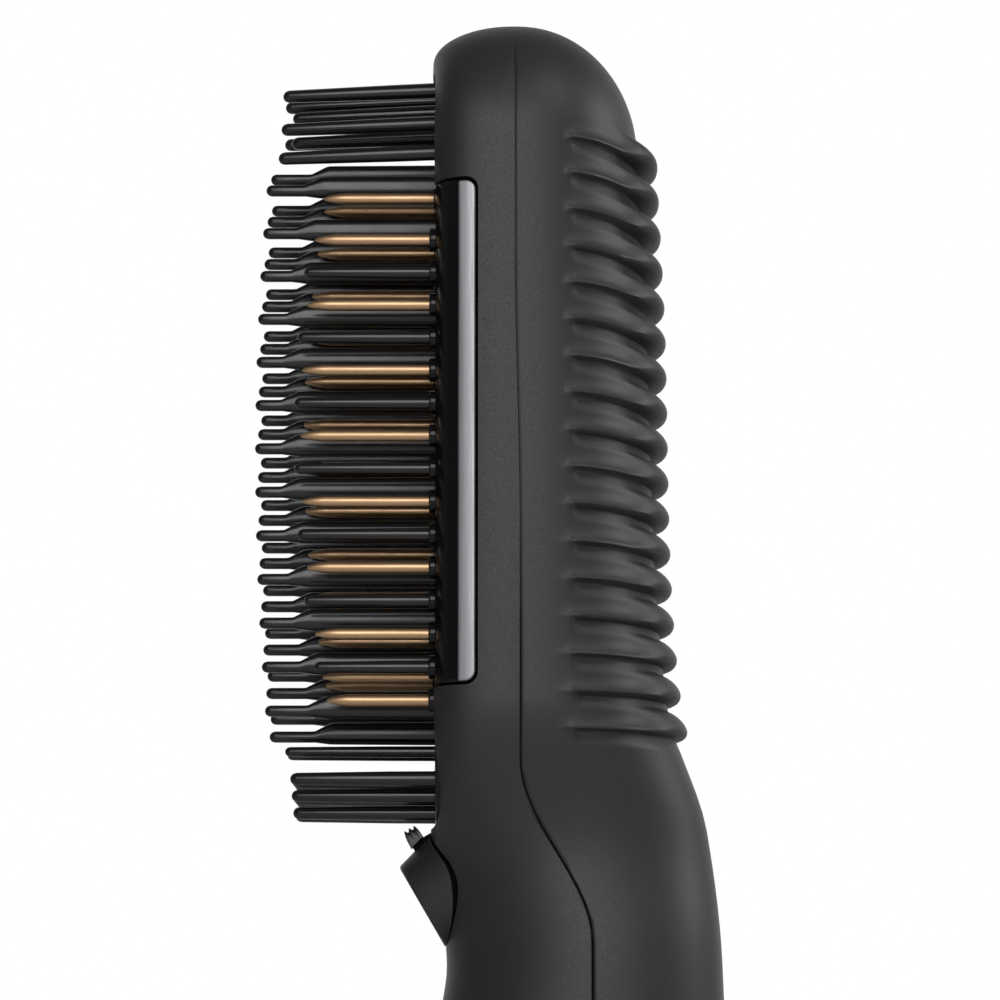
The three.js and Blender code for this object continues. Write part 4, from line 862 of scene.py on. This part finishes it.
def heated_teeth(outline, comb, teeth):
    """Round rods with a pointed, rounded end, on a base plate behind the comb."""
    places = outer_places(outline, teeth, 0) + inner_places(outline, comb) + end_places(outline)
    y, z = np.array(places).T
    behind_comb, margin = 0.6, 1.7
    r, root = teeth["radius"], comb["face"] - comb["thickness"] - behind_comb
    tip = on_arc(teeth["reach"], TOOTH_ARC, outline, z)
    x = stations(z, root, tip - 2.6, tip - 1.6, tip - 0.7, tip - 0.2, tip)
    half = stations(z, r, r, r * 0.84, r * 0.56, r * 0.34, r * 0.16)
    low, high = outline.head - margin, outline.top - LAST_TOOTH + margin
    base = plate(12.4, (high - low) / 2, [1, 1, 1, 1], 2.4, 0.3)
    return joined([spikes(y, z, x, 0 * x, half, half, 20), standing(base, -root - 0.3, (low + high) / 2)])


# Small pieces

def window_gap_shade_floor(outline, side):
    """Near-black strip that closes a side window behind its trim and follows the shell's side; its darkness
    is painted shade for the gap behind the trim.
    """
    run = np.linspace(WINDOW_BACK - 2.45, WINDOW_BACK + 0.6, 7)
    z = np.linspace(outline.window_low - 0.7, outline.window_high + 0.7, 48)[:, None]
    near = outline.half_width(run[None, :], z)
    outer, inner = (np.stack([run + 0 * z, side * (near - depth), z + 0 * run], -1) for depth in (1.9, 2.5))
    return closed_tube(np.concatenate([outer, inner[:, ::-1]], 1))


def trim_strip(outline, trim, side):
    """Strip in a side window: a rounded plate whose face follows the shell's side."""
    low, high = outline.window_low + 0.42, outline.window_high - 0.42
    back_gap, sunk = 0.3, 0.05
    rows = plate(trim["width"] / 2, (high - low) / 2, [trim["corner"], trim["corner"], 0.25, 0.25],
                 trim["thickness"], 0.3, 6, 12)
    points, faces = closed_tube(rows)
    x = WINDOW_BACK - back_gap - trim["width"] / 2 + points[:, 0]
    z = points[:, 1] + (low + high) / 2
    y = outline.half_width(x, z) - sunk - points[:, 2]
    return np.stack([x, side * y, z], -1), faces


def pod_shape(pod):
    """The pod's profile: flat ring, rounded rim, growing flank, and its bore for the button."""
    face, bore, skirt = pod["face_radius"], pod["button_radius"] + 0.28, flank(pod, POD_SKIRT)
    inside, seat, foot = skirt - 1.1, 2.2, 9.4
    profile = softened([(bore, seat), (bore, 0.0), (face, 0.0), (skirt, POD_SKIRT), (skirt, foot)], 0.42, 7)
    return closed_ring(turned([*profile, (inside, foot), (inside, POD_SKIRT), (bore + 0.4, seat)]))


def pod_gasket(pod):
    """Near-black EPDM ring under the pod's head: it fills the gap where the head stands off the shell and
    paints that gap's shade as a dark line.
    """
    face, bore, skirt = pod["face_radius"] - 0.35, pod["button_radius"] + 0.7, flank(pod, POD_SKIRT) - 0.7
    top, foot = 0.7, 8.8
    return closed_ring(turned([(bore, top), (face, top), (skirt, POD_SKIRT), (skirt, foot), (bore, foot)]))


def body_tool(outline, stand_off):
    """Solid copy of the neck, grown by the stand-off above its foot, that trims what sits on it."""
    z = np.linspace(outline.neck - 15, outline.head - 4, 64)[:, None]
    angle = np.linspace(0, 2 * math.pi, 128, endpoint=False)[None, :]
    grown = stand_off * smooth(outline.neck + 4, outline.neck + 9, z)
    return closed_tube(outline.section(z, angle, 0.0, grown))


def slide_track(pod):
    """Flat track on the pod's flank, just under the slide knob's travel."""
    foot, half_across = 5.6, 1.35
    top = flank(pod, KNOB_DEPTH + KNOB_HALF + KNOB_TRAVEL) + 0.2
    edge = rounded_outline(half_across, 2.0, [0.3] * 4, 6)
    rows = [(0.0, foot), (0.0, top - 0.25), (0.08, top - 0.08), (0.25, top)]
    rings = [np.column_stack([np.full(len(edge), level), edge * (1 - inset / half_across)])
             for inset, level in rows]
    points, faces = closed_tube(np.stack(rings))
    return points + [0, 0, 4.6], faces


def button_shape(pod):
    """The button: a parabolic dish with a rounded rim, on a stem."""
    radius, dish_radius, dish_depth = pod["button_radius"], pod["button_radius"] - 0.9, 0.28
    dish = [(r, dish_depth * (1 - (r / dish_radius) ** 2)) for r in np.linspace(0, dish_radius, 8)]
    rim = softened([(dish_radius, 0.0), (radius, 0.0), (radius, 2.5)], 0.4, 6)
    return closed_tube(turned(dish[1:] + rim[1:] + [(1.5, 2.6), (1.5, 10.9)]))


def knob_shape(pod):
    """The slide knob: a small block whose top has three ridges across its travel.

    With s along the travel and t across it, both from -1 to 1, the top is the root of 1 - s to the 8 times
    1 - t to the 6, and a cosine of s makes the ridges."""
    count, wide, half_across, ridge = 61, 25, 1.7, 0.2
    s = np.linspace(-1, 1, count)[:, None]
    t = np.linspace(-1, 1, wide)[None, :]
    base = flank(pod, KNOB_DEPTH + KNOB_HALF + KNOB_TRAVEL) + 0.3
    fall = (1 - np.abs(s) ** 8) * (1 - np.abs(t) ** 6)
    top = base + (pod["knob_height"] - ridge) * np.sqrt(fall) + ridge * np.cos(s * math.pi * 3) * fall
    depth = KNOB_DEPTH + KNOB_HALF * s + 0 * t
    foot = np.minimum(flank(pod, depth + KNOB_TRAVEL) + 0.3, base)
    upper, lower = (np.stack([height, half_across * t + 0 * s, depth], -1)
                    for height in (np.maximum(top, base), foot))
    rim = np.concatenate([np.arange(wide), np.arange(1, count) * wide + wide - 1,
                          (count - 1) * wide + np.arange(wide - 2, -1, -1),
                          np.arange(count - 2, 0, -1) * wide])
    after = np.roll(rim, -1)
    sides = np.stack([rim, after, after + count * wide, rim + count * wide], -1)
    return (np.concatenate([upper.reshape(-1, 3), lower.reshape(-1, 3)]),
            [grid(count, wide), grid(count, wide, count * wide), sides])


def cap_shape(outline, end):
    """The end cap: its rim follows the grip's section, and its floor has a bore for the collar."""
    bore, top, edge = end["collar_radius"] + 0.3, end["flange"], 0.9
    turn = np.radians(np.linspace(0, 90, 7))
    rim = [(0.2 + edge * (1 - math.sin(a)), edge * (1 - math.cos(a))) for a in turn]
    rim += [(0.2, top - 0.25), (0.35, top), (2.5, top), (2.5, 9.0), (4.4, 9.0), (4.4, top)]
    angle = np.linspace(0, 2 * math.pi, ROUND_SIDES, endpoint=False)
    rows = list(turned([(bore, top), (bore, 0.25), (bore + 0.25, 0.0)]))
    for inset, level in rim:
        section = outline.section(np.zeros(ROUND_SIDES), angle, inset)
        section[:, 2] = level
        rows.append(section)
    return closed_ring(np.stack(rows))


def collar_shape(end):
    """The cord collar: a ring whose mouth narrows inwards, with a flange behind the cap."""
    radius = end["collar_radius"]
    profile = [(3.7, 10.0), (4.6, 10.0), (4.6, 5.0), (7.8, 5.0), (7.8, 3.3), (radius, 3.3), (radius, 0.5),
               (4.4, 0.5), (3.2, 2.2), (3.2, 10.0)]
    return closed_ring(turned(softened(profile, 0.3, 4)))


def cover_shape(outline, height):
    """Screw cover: a round plug whose face follows the grip's back, with a rounded rim."""
    plug, edge, face = 2.7, 0.25, 0.05
    turn = np.radians(np.linspace(0, 90, 5))
    rim = [(plug - edge * (1 - math.cos(a)), face + edge * (1 - math.sin(a))) for a in turn]
    rows = []
    for radius, depth in [(plug, 2.2), (plug, face + edge), *rim, (1.2, face)]:
        y, z = (radius * round_ring(64) + [0, height]).T
        share = np.clip(np.abs(y) / outline.side(z), 0, 1)
        x = outline.seam(z) + (outline.back(z) - outline.seam(z)) * (1 - share ** OVAL) ** (1 / OVAL)
        rows.append(np.stack([x - depth, y, z], -1))
    return closed_tube(np.stack(rows))


# Operators

def settings():
    """The sizes of every group of pieces, with lengths in millimetres, and the body's outline."""
    found = {name: millimetres(getattr(bpy.context.scene, "brush_" + name)) for name in groups}
    found["outline"] = BodyOutline(found["body"])
    return found


class HAIR_BRUSH_OT_build_shells(bpy.types.Operator):
    """Build the front and rear shell with ribs, windows and openings"""
    bl_idname = "hair_brush.build_shells"
    bl_label = "Shells"

    def execute(self, context):
        s = settings()
        body, outline = s["body"], s["outline"]
        lacquer = soft_touch_abs(body["shell_colour"])
        openings = [window_tool(outline), comb_tool(outline, s["comb"]), pod_tool(outline, s["pod"])]
        make_piece("shell_front", half_shell(body, outline, -1), lacquer, "brush", ["front_shell"],
                   tools=openings)
        covers = (LOW_COVER, outline.high_cover)
        make_piece("shell_rear", half_shell(body, outline, 1), lacquer, "brush", ["rear_shell"], 50,
                   [cover_tool(height) for height in covers])
        for number, height in enumerate(covers, 1):
            make_piece(f"cover_{number}", cover_shape(outline, height), lacquer, "brush",
                       [f"screw_cover_{number}"])
        return {"FINISHED"}


class HAIR_BRUSH_OT_build_comb(bpy.types.Operator):
    """Build the guard comb's tray, sockets and pins"""
    bl_idname = "hair_brush.build_comb"
    bl_label = "Guard comb"

    def execute(self, context):
        s = settings()
        comb, outline, teeth = s["comb"], s["outline"], s["teeth"]
        gloss = gloss_pbt("polished_pbt_tray", comb["comb_colour"], 0.16, 0.25)
        satin = gloss_pbt("moulded_pbt_pins", comb["pin_colour"], 0.24)
        make_piece("comb_tray", comb_tray(outline, comb), gloss, "brush", ["guard_comb"])
        outer = outer_places(outline, teeth, 0) + outer_places(outline, teeth, 1)
        inner = inner_places(outline, comb) + end_places(outline)
        rings = joined([sockets(outer, comb, inner=1.02, outer=1.4, height=0.75),
                        sockets(inner, comb, inner=0.98, outer=1.22, height=0.3)])
        make_piece("tooth_sockets", rings, gloss, "brush")
        outer_pins = plain_pins(outer_places(outline, teeth, 1), comb, outline, reach=34.4, arc=TOOTH_ARC,
                                radius=0.78, tip_radius=0.66)
        for name, shape in (("long_pins", long_pins(outline, comb)), ("outer_pins", outer_pins),
                            ("end_pins", end_pins(outline, comb))):
            make_piece(name, shape, satin, "brush", (), 40)
        return {"FINISHED"}


class HAIR_BRUSH_OT_build_heated_teeth(bpy.types.Operator):
    """Build the heated teeth on their base"""
    bl_idname = "hair_brush.build_heated_teeth"
    bl_label = "Heated teeth"

    def execute(self, context):
        s = settings()
        metal = coated_aluminium(s["teeth"]["tooth_colour"])
        shape = heated_teeth(s["outline"], s["comb"], s["teeth"])
        make_piece("heated_teeth", shape, metal, "brush", ["heater_plate"], 40)
        return {"FINISHED"}


class HAIR_BRUSH_OT_build_trims(bpy.types.Operator):
    """Build the satin strips in the side windows"""
    bl_idname = "hair_brush.build_trims"
    bl_label = "Side trims"

    def execute(self, context):
        s = settings()
        outline, trim = s["outline"], s["trim"]
        metal = brushed_aluminium(trim["trim_colour"])
        painted_gap_shade = gap_shade_epdm(s["pod"]["gasket_colour"])
        for name, side in (("near", -1), ("far", 1)):
            make_piece("trim_" + name, trim_strip(outline, trim, side), metal, "brush",
                       ["side_trim_" + name])
            # The floor behind each trim is near-black to paint the shade of the gap behind the strip.
            make_piece("pocket_floor_" + name, window_gap_shade_floor(outline, side), painted_gap_shade, "brush")
        return {"FINISHED"}


class HAIR_BRUSH_OT_build_pod(bpy.types.Operator):
    """Build the control pod, the near-black ring of painted shade under its head, its power button and its
    slide knob with the track
    """
    bl_idname = "hair_brush.build_pod"
    bl_label = "Control pod"

    def execute(self, context):
        s = settings()
        pod, outline = s["pod"], s["outline"]
        lacquer = bpy.data.materials["soft_touch_lacquer_on_abs"]
        controls = moulded_abs("moulded_abs_controls", pod["button_colour"], 0.4)
        painted_gap_shade = gap_shade_epdm(pod["gasket_colour"])
        neck = [body_tool(outline, pod["stand_off"])]
        for name, shape, material, body, slot, replaced, tools in (
                ("pod_housing", pod_shape, lacquer, "brush", "shell", ["control_pod"], neck),
                ("pod_button", button_shape, controls, "power_button", "button_black", ["power_button"], ()),
                ("slide_knob", knob_shape, controls, "heat_slide", "button_black", ["heat_slide_knob"], ()),
                # The ring under the pod's head is near-black to paint the shade of the gap round the head.
                ("pod_gasket", pod_gasket, painted_gap_shade, "brush", "button_black", (), ()),
                ("slide_track", slide_track, painted_gap_shade, "brush", "button_black", (), ())):
            make_piece(name, in_pod(shape(pod), pod, outline), material, body, replaced, tools=tools)
        return {"FINISHED"}


class HAIR_BRUSH_OT_build_grip_end(bpy.types.Operator):
    """Build the end cap and the swivelling cord collar"""
    bl_idname = "hair_brush.build_grip_end"
    bl_label = "Grip end"

    def execute(self, context):
        s = settings()
        end = s["grip_end"]
        plastic = moulded_abs("moulded_abs_grip_end", end["cap_colour"], 0.48)
        make_piece("cap", cap_shape(s["outline"], end), plastic, "brush", ["end_cap"])
        make_piece("cord_collar", collar_shape(end), plastic, "cord_swivel", ["swivel_collar"])
        return {"FINISHED"}


class HAIR_BRUSH_OT_finish_inner_parts(bpy.types.Operator):
    """Give the parts inside the shells their materials"""
    bl_idname = "hair_brush.finish_inner_parts"
    bl_label = "Inner parts"

    def execute(self, context):
        made = inner_materials()
        slots = {entry["node"]: entry["material_slot"] for entry in frame["record"]["subparts"]}
        for name, node in frame["nodes"].items():
            if not node.hide_render:
                node.data.materials.clear()
                node.data.materials.append(made[slots[name]])
        return {"FINISHED"}


class HAIR_BRUSH_OT_set_stage(bpy.types.Operator):
    """Set up the floor, the soft lights, the white surround and the camera"""
    bl_idname = "hair_brush.set_stage"
    bl_label = "Stage"

    def execute(self, context):
        scene = context.scene
        look = scene.brush_stage
        build_floor(look.floor_colour)
        build_surround(look.surround)
        softbox("key_softbox", (-0.02, -0.95, 0.5), 0.6, look.key_power)
        softbox("side_softbox", (0.95, 0.1, 0.6), 0.5, look.side_power)
        softbox("top_softbox", (0.4, -0.45, 0.95), 0.25, look.top_power)
        camera = bpy.data.objects.new("camera", bpy.data.cameras.new("camera"))
        camera.data.lens = look.focal_length
        camera.data.sensor_width = 36
        camera.data.clip_start = 0.01
        camera.location = (AXIS * MM - look.camera_ahead, -look.camera_distance, look.camera_height)
        camera.rotation_euler = (math.pi / 2 + look.camera_pitch, 0, 0)
        scene.collection.objects.link(camera)
        scene.camera = camera
        scene.view_settings.view_transform = "Standard"
        return {"FINISHED"}


def build_floor(rgb):
    """Flat sheet of matt paper just under the end cap, wide enough to pass for a studio's."""
    half_side, level, count = 1500, -0.05, 13
    edge = np.linspace(-half_side, half_side, count)
    x, y = np.meshgrid(edge, edge, indexing="ij")
    points = np.stack([x, y, 0 * x + level], -1).reshape(-1, 3)
    floor = make_object("floor", points, [grid(count, count)])
    if floor.data.polygons[0].normal.z < 0:
        floor.data.flip_normals()
    floor.data.materials.append(grained("matt_white_paper", rgb, 0.9, 1.0, 0.1, spread=0.01))


def build_surround(strength):
    """Soft studio room: a dim surround, and a white backdrop that the camera, gloss and glass see."""
    world = bpy.data.worlds.new("studio_surround")
    bpy.context.scene.world = world
    world.use_nodes = True
    tree = world.node_tree
    tree.nodes.clear()
    rays = add_node(tree, "ShaderNodeLightPath").outputs
    place = add_node(tree, "ShaderNodeTexCoord").outputs["Generated"]
    behind = add_node(tree, "ShaderNodeMapRange", {
        "Value": add_node(tree, "ShaderNodeSeparateXYZ", {"Vector": place}).outputs["Y"],
        "From Min": 0.55, "From Max": 0.9}).outputs["Result"]
    seen = rays["Is Glossy Ray"]
    for operation, other in (("MAXIMUM", rays["Is Transmission Ray"]), ("MULTIPLY", behind),
                             ("MAXIMUM", rays["Is Camera Ray"])):
        seen = add_node(tree, "ShaderNodeMath", {0: seen, 1: other}, operation=operation).outputs[0]
    level = add_node(tree, "ShaderNodeMapRange", {"Value": seen, "To Min": strength, "To Max": 1.0})
    light = add_node(tree, "ShaderNodeBackground", {
        "Color": (1, 1, 1, 1), "Strength": level.outputs["Result"]})
    add_node(tree, "ShaderNodeOutputWorld", {"Surface": light.outputs[0]})


def softbox(name, place, size, power):
    """Square soft lamp that faces the brush's middle."""
    lamp = bpy.data.lights.new(name, "AREA")
    lamp.size = size
    lamp.energy = power
    made = bpy.data.objects.new(name, lamp)
    made.location = place
    x, y, z = np.array([AXIS * MM, 0.0, 0.2]) - place
    made.rotation_euler = (math.pi / 2 + math.atan2(z, math.hypot(x, y)), 0, math.atan2(-x, y))
    bpy.context.scene.collection.objects.link(made)


class HAIR_BRUSH_PT_pieces(bpy.types.Panel):
    """Sidebar list of the brush's pieces and sizes"""
    bl_idname = "HAIR_BRUSH_PT_pieces"
    bl_label = "Straightening Brush"
    bl_space_type = "VIEW_3D"
    bl_region_type = "UI"
    bl_category = "Brush"

    def draw(self, context):
        column = self.layout.column()
        for operator in operators:
            column.operator(operator.bl_idname)
        for name in groups:
            group = getattr(context.scene, "brush_" + name)
            box = self.layout.box()
            box.label(text=name.replace("_", " ").capitalize())
            for key in group.bl_rna.properties.keys():
                if key not in ("rna_type", "name"):
                    box.prop(group, key)


groups = {
    "body": BrushBodySizes,
    "comb": CombSizes,
    "teeth": HeatedToothSizes,
    "trim": TrimSizes,
    "pod": PodSizes,
    "grip_end": GripEndSizes,
    "stage": StageLook,
}
operators = (
    HAIR_BRUSH_OT_set_stage,
    HAIR_BRUSH_OT_build_shells,
    HAIR_BRUSH_OT_build_comb,
    HAIR_BRUSH_OT_build_heated_teeth,
    HAIR_BRUSH_OT_build_trims,
    HAIR_BRUSH_OT_build_pod,
    HAIR_BRUSH_OT_build_grip_end,
    HAIR_BRUSH_OT_finish_inner_parts,
)


def register():
    """Adds the sizes to the scene, and the operators and the panel to Blender."""
    for name, group in groups.items():
        bpy.utils.register_class(group)
        setattr(bpy.types.Scene, "brush_" + name, bpy.props.PointerProperty(type=group))
    for item in (*operators, HAIR_BRUSH_PT_pieces):
        bpy.utils.register_class(item)


def unregister():
    """Takes them out again, last first."""
    for item in reversed((*operators, HAIR_BRUSH_PT_pieces)):
        bpy.utils.unregister_class(item)
    for name, group in reversed(groups.items()):
        delattr(bpy.types.Scene, "brush_" + name)
        bpy.utils.unregister_class(group)


def main():
    """Registers the add-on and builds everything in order."""
    register()
    bpy.ops.hair_brush.set_stage()
    bpy.ops.hair_brush.build_shells()
    bpy.ops.hair_brush.build_comb()
    bpy.ops.hair_brush.build_heated_teeth()
    bpy.ops.hair_brush.build_trims()
    bpy.ops.hair_brush.build_pod()
    bpy.ops.hair_brush.build_grip_end()
    bpy.ops.hair_brush.finish_inner_parts()


if __name__ == "__main__":
    main()
